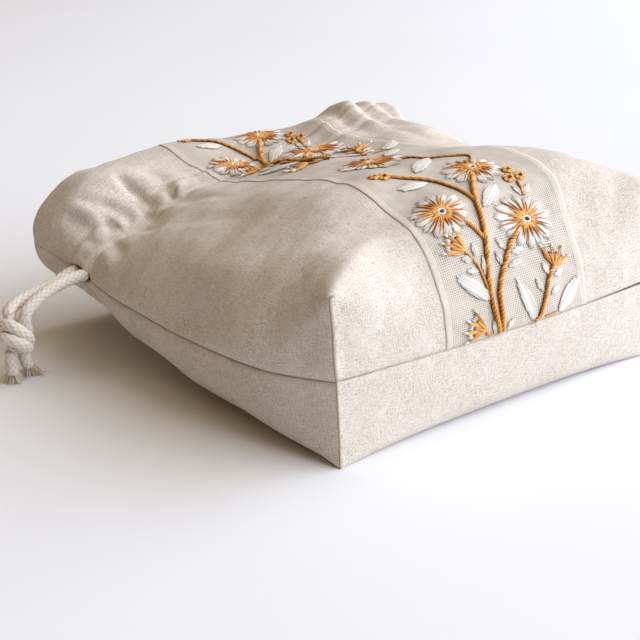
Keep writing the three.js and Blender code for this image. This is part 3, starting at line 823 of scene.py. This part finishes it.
def daisy(centre, across, up, turned):
    """White petals, orange rays over them, a pale ring and a dark eye."""
    cos, sin = circle_point(math.radians(turned))
    axes = np.array([(across * cos, across * sin), (-up * sin, up * cos)])

    def spoke(angle, sway=0):
        return lambda share: centre + share * circle_point(angle + drawn(sway)) @ axes

    white, orange, dark = [], [], []
    turn = 2 * math.pi / PETALS
    for k in range(PETALS):
        size = drawn(PETAL_SIZES)
        for j in np.linspace(-1, 1, PETAL_THREADS):
            way = spoke(k * turn + j * turn * PETAL_SPREAD)
            white.append(stitch("petal", way, size * (1 - PETAL_POINT * j * j), 1 - PETAL_DOME * j * j))
    for k in range(RAYS):
        angle = 2 * math.pi * (k + drawn(RAY_JITTER)) / RAYS
        orange.append(stitch("ray", spoke(angle), end_way=spoke(angle, RAY_SWAY)))
    for k in range(DISC_THREADS):
        orange.append(stitch("disc", spoke(2 * math.pi * k / DISC_THREADS)))
    share, lift, width, shade = RING
    ring = np.array([spoke(angle)(share) for angle in np.linspace(0, 2 * math.pi, RING_POINTS)])
    white.append((ring, *(np.full(RING_POINTS, value) for value in (NET_TOP + lift, width, shade))))
    for k in range(EYE_STITCHES):
        dark.append(stitch("daisy_eye", straight(centre, circle_point(k * math.pi / EYE_STITCHES))))
    return white, orange, dark


def rope(width, places):
    """A stem of plied thread."""
    line = smooth_line(places, ROPE_STEP)
    tangent = unit(np.gradient(line, axis=0))
    side = np.stack([-tangent[:, 1], tangent[:, 0]], -1)
    along = ROPE_STEP * np.arange(len(line))
    end = np.minimum(1, np.minimum(along, along[-1] - along) / width + ROPE_END)
    base, painted_crest, by_ply, drift = ROPE_TONES_AND_PAINTED_LIGHT
    plies = []
    for k in range(ROPE_PLIES):
        phase = 2 * math.pi * (along / (ROPE_TURN * width) + k / ROPE_PLIES)
        place = line + ROPE_OFFSET * width * np.cos(phase)[:, None] * side
        lift = NET_TOP + ROPE_LIFT * width + ROPE_OFFSET * width * np.sin(phase)
        # A ply is painted lighter where it comes up on top of the stem and darker where it goes down its
        # side.
        shade = base + painted_crest * np.sin(phase) + by_ply * (k - 1) + drift * np.sin(along / DRIFT_LENGTH + 2 * k)
        plies.append((place, lift, ROPE_PLY * width * end, shade))
    return plies


def fan(tip, ends):
    """A bud of orange rays from one point, with pale stitches between their ends."""
    tip, ends = np.array(tip), np.array(ends)
    white, orange, dark = [], [], []
    for end in ends:
        orange += leaf(tip, end, *FAN_RAY)
        white.append(stitch("fan_tip", straight(tip, end - tip)))
    for a, b in zip(ends, ends[1:]):
        middle = straight(tip, (a + b) / 2 - tip)
        orange.append(stitch("fan_middle", middle))
        white += [stitch("fan_pale", straight(tip, a + share * (b - a) - tip)) for share in FAN_PLACES]
        dark.append(stitch("fan_dark", middle))
    return white, orange, dark


def coil(centre, radius):
    """A round bud: a coil of orange chain stitches with pale specks about a dark eye."""
    share = np.linspace(0, 1, COIL_POINTS)
    turns = 2 * math.pi * COIL_TURNS * share
    size = radius * (1 - (1 - COIL_INNER) * share)
    place = centre + size[:, None] * np.stack([np.cos(turns), np.sin(turns)], -1)
    lift = NET_TOP + COIL_LIFT + COIL_RISE * share
    # The chain's links are only painted: a painted highlight on each link and painted shade between them.
    shade = COIL_SHADE + PAINTED_LINK_LIGHT * np.sin(COIL_LINKS * turns)
    spots = [centre + SPECK_SHARE * radius * circle_point(SPECK_TURN + 2 * math.pi * k / SPECKS)
             for k in range(SPECKS)]
    white = [stitch("coil_speck", straight(spot, (1, 1))) for spot in spots]
    eye = stitch("coil_eye", straight(centre, (1, 0)))
    return white, [(place, lift, np.full(COIL_POINTS, COIL_WIDTH), shade)], [eye]


def embroidery():
    """All the sprig's threads by colour, repeated up the band and kept inside it."""
    parts = [fan(*row) for row in FANS] + [coil(*row) for row in COILS] + [daisy(*row) for row in DAISIES]
    sprig = {"white": [], "orange": [], "dark": []}
    for base, tip, width in LEAVES:
        sprig["white"] += leaf(base, tip, width, LEAF_RISE)
    for base, tip in LEAFLETS:
        sprig["white"] += leaf(base, tip, LEAFLET_WIDTH, LEAFLET_RISE)
    for width, places in STEMS:
        sprig["orange"] += rope(width, places)
    for part in parts:
        for colour, threads in zip(sprig, part):
            sprig[colour] += threads

    def inside(place):
        u, t = place.T
        return (np.abs(u).max() < HALF_BAND + SIDE_OVERLAP and BOTTOM_ROOM < t.min()
                and t.max() < PANEL_HEIGHT - TOP_ROOM)

    return {colour: [(place + (0, lift), *rest) for lift in REPEATS for place, *rest in threads
                     if inside(place + (0, lift))] for colour, threads in sprig.items()}


# Cord: braided cotton, its free strands and tails, in the pattern's frame
CORD_RADIUS = 2.3
CORD_STEP = 0.25
CORD_SIDES = 44
BRAID_STRANDS = 7
BRAID_SLOPE = 0.85
BRAID_DEPTH = 0.17
# Share of a strand's own roundness in the braid's height, the rest coming from the crossings
BRAID_ROUND = 0.65
# Cord ends: length of the rounding in radii, least size squared; the direction that rings are turned from
END_LENGTH = 0.5
END_LEAST = 0.0004
FIRST_TURN = (0.3, 0.5, 0.8)
STRAND_FRONT = [(-91.8, 123.9, 32.1), (-96.2, 123.7, 32), (-101.7, 123, 31.5), (-107.7, 122, 30.3),
                (-113.2, 120.8, 28.3), (-117.6, 119.8, 25.9), (-119.4, 119.3, 23.7)]
STRAND_BACK = [(-92, 130.1, 32.1), (-96.2, 129.7, 31.4), (-101.7, 128.5, 30), (-108.2, 127.2, 28.9),
               (-114.7, 126.2, 27.9), (-119.8, 125.2, 26.7), (-122.6, 124.2, 25.2), (-123.2, 123.6, 23.6)]
TAIL_FRONT = [(-125, 120.4, 12.5), (-125.2, 120.5, 6), (-124.9, 120.8, 3)]
TAIL_BACK = [(-119.9, 122.7, 12.5), (-118.7, 122.9, 6), (-117.4, 123, 3)]
KNOT_CENTRE = np.array([-121.5, 121, 17.3])
KNOT_RADIUS = 2.3
# The two strands through the knot: places to the right, up and toward the viewer from its centre
KNOT_AXES = np.array([(0.79, -0.61, 0.0), (0.23, 0.3, 0.93), (-0.57, -0.73, 0.37)])
KNOT_LINES = [
    [(3.2, 7.3, 2.2), (2.6, 4.2, 1.4), (2.6, 1, -1.6), (0.2, -1.4, -3.4), (-3.6, -0.8, -2.2),
     (-5, 1.4, 0.8), (-3.4, 3.2, 3.2), (-0.2, 2.2, 4.6), (2.6, 0.2, 3.6), (3.8, -1.6, 0.6),
     (2.6, -3, -2.2), (0.4, -3.8, -3.2), (0.2, -5.2, -4)],
    [(-2.9, 7.6, 1.2), (-2.4, 4.2, 0.4), (-0.6, 1.4, -1.2), (-2.2, 0, -0.6), (-4.8, -1, 1.6),
     (-3.6, -1.4, 4), (-0.6, -2.2, 5), (2.2, -3.4, 3.8), (3.4, -4.6, 0.8), (1.6, -4.4, -1.4),
     (-1, -4.2, -0.6), (-2.4, -6.4, 0.6)],
]
SLIT = np.array([-92.5, 127.0, 32.0])

# The cord in the casing: where its way round begins, points, share of the gathers that it follows,
# depth below the cloth, how its ends lie behind the slit, and the step along it
CASING_START = -84.0
CASING_POINTS = 20
CASING_FOLDS = 0.3
CASING_DEPTH = 5.8
CASING_END = (4.8, 3.1, 0.8)
CASING_STEP = 4 * CORD_STEP

# Frayed ends: fibres, points and sides of one, where they begin, lengths, spreads, bend, curl and its wave,
# radius and taper, height above the floor, a direction across them, and how much of their tone is drawn
FRAY_FIBRES = 150
FRAY_POINTS = 8
FRAY_SIDES = 5
FRAY_ROOT = 1.5
FRAY_START = 0.85 * CORD_RADIUS
FRAY_LENGTHS = (3.375, 7.5)
FRAY_SPREADS = (0.36, 3.6)
FRAY_BEND = 1.6
FRAY_CURL = 0.5
FRAY_WAVE = 3.0
FRAY_PHASE = 6.0
FRAY_RADIUS = 0.15
FRAY_TAPER = 0.6
FRAY_FLOOR = 0.2
FRAY_NORMAL = (0.6, 0.8, 0.1)
FRAY_TONE = 0.6


def braid_height(angle, along, radius):
    """Height from 0 to 1 of a braid of strands that cross over and under each other."""
    run = BRAID_STRANDS * BRAID_SLOPE * along / radius
    ways = [BRAID_STRANDS * angle + run, BRAID_STRANDS * angle - run]
    nearest = [np.round(way / (2 * math.pi)) for way in ways]
    off_left, off_right = (way - 2 * math.pi * near for way, near in zip(ways, nearest))
    over = 1 - 2 * (sum(nearest) % 2)

    def height(own, other, sign):
        rounded = np.sqrt(np.maximum(0, 1 - (own / math.pi) ** 2))
        return BRAID_ROUND * rounded + sign * (1 - BRAID_ROUND) * over * np.cos(other / 2)

    return np.clip(np.maximum(height(off_left, off_right, 1), height(off_right, off_left, -1)), 0, 1)


def braided_tube(line, radius):
    """Points, quads and heights of a braided tube along evenly spaced points, with rounded ends."""
    tangent = unit(np.gradient(line, axis=0))
    side = np.zeros_like(line)
    side[0] = unit(np.cross(tangent[0], FIRST_TURN))
    for i in range(1, len(line)):
        side[i] = unit(side[i - 1] - tangent[i] * (side[i - 1] @ tangent[i]))
    up = np.cross(tangent, side)
    along = CORD_STEP * np.arange(len(line))
    angle = np.linspace(0, 2 * math.pi, CORD_SIDES, endpoint=False)
    height = braid_height(angle[None, :], along[:, None], radius)
    ring = radius * (1 - BRAID_DEPTH + BRAID_DEPTH * height)
    tip = np.minimum(along, along[-1] - along) / (END_LENGTH * radius)
    ring *= np.sqrt(np.clip(1 - (1 - np.clip(tip, 0, 1)) ** 2, END_LEAST, 1))[:, None]
    # The braid's heights also become its shades: painted shade in the grooves between strands, lighter on
    # their tops.
    return (*tube_rings(line[None], up[None], ring[None], CORD_SIDES), height.ravel())


def cord_object(name, lines, radius):
    """One piece of braided cord along one or more lines."""
    return joined_object(name, [braided_tube(line, radius) for line in lines])


def knot_lines():
    """The two strands' ways through the knot, in the pattern's frame."""
    return [smooth_line(KNOT_CENTRE + np.array(places) @ KNOT_AXES, CORD_STEP) for places in KNOT_LINES]


def casing_line():
    """The cord's way round the mouth inside the casing, with both ends behind the slit."""
    u = np.linspace(CASING_START, HALF_WIDTH, CASING_POINTS)
    t = np.full_like(u, CINCH_T)
    ways = [panel(side, u, t, CASING_FOLDS) - CASING_DEPTH * outward(side, u, t, CASING_FOLDS)
            for side in SIDES]
    in_x, apart_y, apart_z = CASING_END
    ends = [SLIT + (in_x, sign * apart_y, -sign * apart_z) for sign in (-1, 1)]
    return smooth_line(np.vstack([ends[0], ways[0][:-1], ways[1][::-1], ends[1]]), CASING_STEP)


def fray_object(name, tail):
    """Loose fibres at a cut end, spreading out over the floor."""
    top, end = np.array(tail[-2]), np.array(tail[-1])
    down = unit(end - top)
    s = np.linspace(0, 1, FRAY_POINTS)[None, :, None]

    def each(low, high):
        return rng.uniform(low, high, (FRAY_FIBRES, 1, 1))

    turn = each(0, 2 * math.pi)
    out = np.concatenate([np.cos(turn), np.sin(turn), 0 * turn], -1)
    start = end - FRAY_ROOT * down + FRAY_START * np.sqrt(each(0, 1)) * out
    length = each(*FRAY_LENGTHS)
    spread = each(*FRAY_SPREADS)
    curl = rng.normal(0, FRAY_CURL, (FRAY_FIBRES, 1, 3)) * np.sin(FRAY_WAVE * s + each(0, FRAY_PHASE))
    paths = start + down * length * s + out * spread * s ** FRAY_BEND + curl * s
    paths[..., 2] = np.maximum(paths[..., 2], FRAY_FLOOR)
    normals = np.broadcast_to(FRAY_NORMAL, paths.shape)
    rings, quads = tube_rings(paths, normals, FRAY_RADIUS * (1 - FRAY_TAPER * s), FRAY_SIDES)
    tone = np.clip(each(0, FRAY_TONE) + (1 - FRAY_TONE) * s, 0, 1)
    return joined_object(name, [(rings, quads, np.repeat(tone.ravel(), FRAY_SIDES))])


# Materials

class Nodes:
    """A short way to add and link shader nodes in a new material."""

    def __init__(self, name):
        self.material = bpy.data.materials.new(name)
        self.material.use_nodes = True
        self.tree = self.material.node_tree

    def add(self, kind, **settings):
        node = self.tree.nodes.new(kind)
        for name, value in settings.items():
            setattr(node, name, value)
        return node

    def feed(self, socket, value):
        """Give a socket a number or a colour, or link another node's output to it."""
        if isinstance(value, (int, float)):
            socket.default_value = value
        elif isinstance(value, tuple):
            socket.default_value = (*value, 1)
        else:
            self.tree.links.new(value, socket)

    def math(self, operation, a, b=0.0):
        node = self.add("ShaderNodeMath", operation=operation)
        self.feed(node.inputs[0], a)
        self.feed(node.inputs[1], b)
        return node.outputs[0]

    def mix(self, factor, a, b):
        node = self.add("ShaderNodeMix", data_type="RGBA")
        for socket, value in zip((node.inputs[0], node.inputs[6], node.inputs[7]), (factor, a, b)):
            self.feed(socket, value)
        return node.outputs[2]

    def noise(self, vector, scale, detail=2.0, roughness=0.5):
        node = self.add("ShaderNodeTexNoise")
        settings = {"Vector": vector, "Scale": scale, "Detail": detail, "Roughness": roughness}
        for name, value in settings.items():
            self.feed(node.inputs[name], value)
        return node.outputs["Fac"]

    def ramp(self, value, stops):
        node = self.add("ShaderNodeValToRGB")
        elements = node.color_ramp.elements
        while len(elements) < len(stops):
            elements.new(0.5)
        for element, (place, colour) in zip(elements, stops):
            element.position = place
            element.color = (*colour, 1)
        self.feed(node.inputs[0], value)
        return node.outputs[0]

    def fade(self, value, *stops):
        """A level by a value, between stops of place and level."""
        return self.ramp(value, [(place, (level,) * 3) for place, level in stops])

    def stretched(self, vector, scale):
        node = self.add("ShaderNodeVectorMath", operation="MULTIPLY")
        self.feed(node.inputs[0], vector)
        node.inputs[1].default_value = scale
        return node.outputs[0]

    def finish(self, colour, roughness, specular, sheen=0.0, height=None, bump=None, sunk=False):
        """The material, with its colour, its shine and a bump of some strength and depth in metres."""
        inputs = self.tree.nodes["Principled BSDF"].inputs
        self.feed(inputs["Base Color"], colour)
        self.feed(inputs["Roughness"], roughness)
        self.feed(inputs["Specular IOR Level"], specular)
        self.feed(inputs["Sheen Weight"], sheen)
        if bump:
            node = self.add("ShaderNodeBump", invert=sunk)
            for name, value in zip(("Strength", "Distance", "Height"), (*bump, height)):
                self.feed(node.inputs[name], value)
            self.feed(inputs["Normal"], node.outputs[0])
        return self.material


def pattern_places(nodes):
    """The pattern place of a surface point in millimetres, as a vector and as its two parts."""
    uv = nodes.add("ShaderNodeUVMap", uv_map="pattern")
    place = nodes.stretched(uv.outputs[0], (1 / UV_SCALE,) * 3)
    parts = nodes.add("ShaderNodeSeparateXYZ")
    nodes.feed(parts.inputs[0], place)
    return place, parts.outputs[0], parts.outputs[1]


# Noises in the linen's tone: stretch, scale per millimetre, detail, roughness, share
LINEN_NOISES = [
    ((2.3, 0.3, 1), 1.0, 2, 0.6, 0.27),
    ((0.3, 2.3, 1), 1.0, 2, 0.6, 0.27),
    ((1, 1, 1), 2.4, 2, 0.7, 0.64),
    ((1, 1, 1), 0.06, 3, 0.5, 0.1),
]
THREAD_PITCH = 0.52
LINEN_TONES = [(0.5, (0.415, 0.342, 0.265)), (0.64, (0.682, 0.6, 0.517)), (0.77, (0.82, 0.75, 0.672))]
WEAVE_HEIGHT = 0.3
TONE_HEIGHT = 3.0

# Painted shade in the seams' grooves: colour, then stops of distance from the seam in millimetres and level;
# for the box seam, one millimetre less the distance, and half the way along the seam from its end
SEAM_SHADE_COLOUR = (0.3, 0.225, 0.15)
SIDE_SEAM_SHADE = ((0.15, 0.42), (0.5, 0))
BOTTOM_SEAM_SHADE = ((0.12, 0.14), (0.45, 0))
BOX_SEAM_SHADE = ((0.6, 0), (0.92, 1))
BOX_SEAM_SHADE_REACH = ((0.05, 0), (0.5, 1))


def seam_shadow(nodes, across, up):
    """The painted shade along the seams' grooves, by the distance from them on the pattern."""
    wide = nodes.math("ABSOLUTE", across)
    past = nodes.math("SUBTRACT", wide, HALF_BOTTOM)
    below = nodes.math("SUBTRACT", HALF_GUSSET, up)
    along_box = nodes.math("MULTIPLY", nodes.math("MAXIMUM", past, below), 0.5)
    box = nodes.fade(nodes.math("ADD", nodes.math("MINIMUM", past, below), 1.0), *BOX_SEAM_SHADE)
    box = nodes.math("MULTIPLY", box, nodes.fade(along_box, *BOX_SEAM_SHADE_REACH))
    side = nodes.fade(nodes.math("SUBTRACT", HALF_WIDTH, wide), *SIDE_SEAM_SHADE)
    begin, faint = (place / PANEL_HEIGHT for place in SEAM_FADE)
    pressed = nodes.fade(nodes.math("DIVIDE", up, PANEL_HEIGHT), (begin, 1), (faint, SEAM_LEFT))
    side = nodes.math("MULTIPLY", side, pressed)
    return nodes.math("MAXIMUM", nodes.math("MAXIMUM", box, nodes.fade(up, *BOTTOM_SEAM_SHADE)), side)


def linen_material():
    """Plain weave: dense grain, short slubs, painted shade along the seams and a woven bump."""
    nodes = Nodes("linen")
    place, across, up = pattern_places(nodes)
    tone = 0.0
    for stretch, scale, detail, roughness, share in LINEN_NOISES:
        layer = nodes.noise(nodes.stretched(place, stretch), scale, detail, roughness)
        tone = nodes.math("ADD", nodes.math("MULTIPLY", layer, share), tone)
    colour = nodes.mix(seam_shadow(nodes, across, up), nodes.ramp(tone, LINEN_TONES), SEAM_SHADE_COLOUR)
    turn = 2 * math.pi / THREAD_PITCH
    weave_u, weave_t = (nodes.math("SINE", nodes.math("MULTIPLY", way, turn)) for way in (across, up))
    weave = nodes.math("MULTIPLY", nodes.math("MULTIPLY", weave_u, weave_t), WEAVE_HEIGHT)
    height = nodes.math("ADD", weave, nodes.math("MULTIPLY", tone, TONE_HEIGHT))
    return nodes.finish(colour, roughness=0.92, specular=0.2, sheen=0.12, height=height, bump=(0.5, 0.00012))


# Tulle: pitch of the net, waves up and across it per pitch, unevenness of its holes and where they open
NET_PITCH = 0.82
NET_UP = 0.58
NET_ACROSS = 0.5
UNEVEN_SCALE = 0.25
UNEVEN_SHARE = 0.9
NET_HOLES = ((0.1, 0), (0.75, 1))
# Net thread, and the holes painted as the linen below them in painted shade
TULLE_THREAD = (0.67, 0.595, 0.51)
HOLE_LINEN_AND_SHADE = (0.3, 0.24, 0.18)
# Its borders: where they begin and are full, weave and tones
BORDER_EDGE = (BORDER_IN - 0.4, BORDER_IN + 0.2)
BORDER_WEAVE = (1.9, 0.8, 1)
BORDER_TONES = [(0.3, (0.6048, 0.5418, 0.4578)), (0.7, (0.72, 0.645, 0.545))]


def tulle_material():
    """Cream net with rows of pinholes over the linen, the holes painted dark as linen in painted shade, plain
    where the border is doubled.
    """
    nodes = Nodes("tulle")
    place, across, up = pattern_places(nodes)
    turn = 2 * math.pi / NET_PITCH
    wave_up = nodes.math("MULTIPLY", up, turn * NET_UP)
    wave_across = nodes.math("MULTIPLY", across, turn * NET_ACROSS)
    rising = nodes.math("SINE", nodes.math("ADD", wave_up, wave_across))
    falling = nodes.math("SINE", nodes.math("SUBTRACT", wave_up, wave_across))
    uneven = nodes.math("SUBTRACT", nodes.noise(place, UNEVEN_SCALE, 3), 0.5)
    uneven = nodes.math("MULTIPLY", uneven, UNEVEN_SHARE)
    holes = nodes.fade(nodes.math("ADD", nodes.math("MULTIPLY", rising, falling), uneven), *NET_HOLES)
    begin, full = (edge / HALF_BAND for edge in BORDER_EDGE)
    out = nodes.math("DIVIDE", nodes.math("ABSOLUTE", across), HALF_BAND)
    border = nodes.fade(out, (begin, 0), (full, 1))
    cream = nodes.ramp(nodes.noise(nodes.stretched(place, BORDER_WEAVE), 1.0, 2), BORDER_TONES)
    colour = nodes.mix(border, nodes.mix(holes, TULLE_THREAD, HOLE_LINEN_AND_SHADE), cream)
    height = nodes.math("MULTIPLY", holes, nodes.math("SUBTRACT", 1.0, border))
    return nodes.finish(colour, roughness=0.8, specular=0.25, sheen=0.15, height=height, bump=(0.6, 0.00018),
                        sunk=True)


# Threads: tones from dark to light, share of the fibres' noise in the tone, and its scale per metre
# On the cord the shade is the braid's height, so the dark end of its tones is painted shade in the grooves.
COTTON_AND_GROOVE_SHADE = [(0.0, (0.36, 0.29, 0.21)), (0.45, (0.66, 0.58, 0.48)), (1.0, (0.85, 0.8, 0.72))]
FRAYED = [(0.0, (0.56, 0.42, 0.25)), (0.5, (0.77, 0.67, 0.51)), (1.0, (0.9, 0.86, 0.78))]
WHITE_THREAD = [(0.0, (0.45, 0.4, 0.33)), (1.0, (0.85, 0.81, 0.75))]
ORANGE_THREAD = [(0.0, (0.13, 0.024, 0.003)), (0.45, (0.47, 0.152, 0.013)), (1.0, (0.85, 0.45, 0.11))]
DARK_THREAD = [(0.0, (0.07, 0.03, 0.012)), (1.0, (0.25, 0.1, 0.03))]
FIBRE_SHARE = 0.5
FLOSS_FIBRE = 2600
COTTON_FIBRE = 1500


def thread_material(name, stops, fibre_scale, roughness):
    """Spun thread: its tone from the shade of each thread or strand, and fibres along it."""
    nodes = Nodes(name)
    shade = nodes.add("ShaderNodeAttribute", attribute_name="shade").outputs["Fac"]
    place = nodes.add("ShaderNodeTexCoord").outputs["Object"]
    fibre = nodes.noise(place, fibre_scale, 3, 0.6)
    change = nodes.math("MULTIPLY", nodes.math("SUBTRACT", fibre, 0.5), FIBRE_SHARE)
    colour = nodes.ramp(nodes.math("ADD", shade, change), stops)
    return nodes.finish(colour, roughness, specular=0.3, sheen=0.12, height=fibre, bump=(0.45, 0.0001))


# Camera at the photograph's viewing angle, in millimetres of the row's frame
CAMERA_TARGET = Vector((-32.1, -18.9, 20.8)) * MM
CAMERA_AZIMUTH = math.radians(-37.7)
CAMERA_ELEVATION = math.radians(22.0)
CAMERA_DISTANCE = 457 * MM
FOCAL_PIXELS = 1300
FRAME_PIXELS = 640
SENSOR = 36
CLIP_START = 0.01

# Lights in metres: name, place, target, size, power, colour
LIGHTS = [
    ("window", (1.72, -1.25, 1.22), (0, 0, 0), (4.6, 3.0), 200, (0.79, 0.87, 1.0)),
    ("ceiling", (-0.2, 0.3, 2.2), (-0.1, 0.1, 0), (2.5, 2.5), 15, (1.0, 0.87, 0.63)),
]
ROOM_TONE = (1.0, 0.55, 0.18)
ROOM_STRENGTH = 0.13
FLOOR_REACH = 3.0
FLOOR_CLOUD = 3.0
FLOOR_TONES = [(0.3, (0.82, 0.825, 0.84)), (0.7, (0.84, 0.845, 0.86))]


def add_facing(name, data, place, target):
    """A camera or a light at a place, turned to face its target."""
    holder = bpy.data.objects.new(name, data)
    holder.location = place
    holder.rotation_euler = (Vector(target) - Vector(place)).to_track_quat("-Z", "Y").to_euler()
    bpy.context.scene.collection.objects.link(holder)
    return holder


def add_camera():
    """The camera of the main view."""
    camera = bpy.data.cameras.new("camera")
    camera.sensor_width = SENSOR
    camera.lens = SENSOR * FOCAL_PIXELS / FRAME_PIXELS
    camera.clip_start = CLIP_START
    flat = math.cos(CAMERA_ELEVATION)
    back = Vector((math.sin(CAMERA_AZIMUTH) * flat, -math.cos(CAMERA_AZIMUTH) * flat,
                   math.sin(CAMERA_ELEVATION)))
    place = CAMERA_TARGET + back * CAMERA_DISTANCE
    bpy.context.scene.camera = add_facing("camera", camera, place, CAMERA_TARGET)


def add_surroundings():
    """Pale floor, a large soft light from the right, a dim one from above and a faint warm room."""
    nodes = Nodes("floor")
    cloud = nodes.noise(nodes.add("ShaderNodeTexCoord").outputs["Object"], FLOOR_CLOUD, 2)
    material = nodes.finish(nodes.ramp(cloud, FLOOR_TONES), roughness=0.9, specular=0.0)
    corners = [(FLOOR_REACH * x, FLOOR_REACH * y, 0) for x, y in ((-1, -1), (1, -1), (1, 1), (-1, 1))]
    floor = add_object("floor", corners, [(0, 1, 2, 3)], smooth=False)
    floor.data.materials.append(material)
    for name, place, target, size, power, colour in LIGHTS:
        light = bpy.data.lights.new(name, "AREA")
        light.shape = "RECTANGLE"
        light.size, light.size_y = size
        light.energy = power
        light.color = colour
        add_facing(name, light, place, target)
    world = bpy.data.worlds.new("room")
    world.use_nodes = True
    background = world.node_tree.nodes["Background"]
    background.inputs[0].default_value = (*ROOM_TONE, 1)
    background.inputs[1].default_value = ROOM_STRENGTH
    bpy.context.scene.world = world
    bpy.context.scene.view_settings.view_transform = "Standard"


def dress(piece, material, node=None):
    """A piece's material and body, and the node of the solids that it replaces."""
    piece.data.materials.append(material)
    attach(piece, "root")
    if node:
        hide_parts(node)


add_camera()
add_surroundings()

linen = linen_material()
for side in SIDES:
    cloth = cloth_panel(side)
    dress(cloth, linen, side + "_panel")

band = tulle_band()
dress(band, tulle_material(), "embroidered_band")

floss = {
    "white": thread_material("white_floss", WHITE_THREAD, FLOSS_FIBRE, 0.5),
    "orange": thread_material("orange_floss", ORANGE_THREAD, FLOSS_FIBRE, 0.45),
    "dark": thread_material("dark_floss", DARK_THREAD, FLOSS_FIBRE, 0.5),
}
for colour, threads in embroidery().items():
    dress(thread_object("embroidery_" + colour, threads), floss[colour])

cotton = thread_material("cotton", COTTON_AND_GROOVE_SHADE, COTTON_FIBRE, 0.85)
frayed = thread_material("frayed_cotton", FRAYED, COTTON_FIBRE, 0.85)
dress(cord_object("cord_in_casing", [casing_line()], CORD_RADIUS), cotton, "drawstring_loop")
knot = cord_object("overhand_knot", knot_lines(), KNOT_RADIUS)
dress(knot, cotton, "cord_knot")
for side, route, tail in (("front", STRAND_FRONT, TAIL_FRONT), ("back", STRAND_BACK, TAIL_BACK)):
    line = smooth_line(route, CORD_STEP)
    strand = cord_object("cord_" + side, [line], CORD_RADIUS)
    dress(strand, cotton, "strand_" + side)
    braid = cord_object("tail_" + side + "_braid", [smooth_line(tail, CORD_STEP)], CORD_RADIUS)
    dress(braid, cotton, "tail_" + side)
    fray = fray_object("tail_" + side + "_fray", tail)
    dress(fray, frayed)
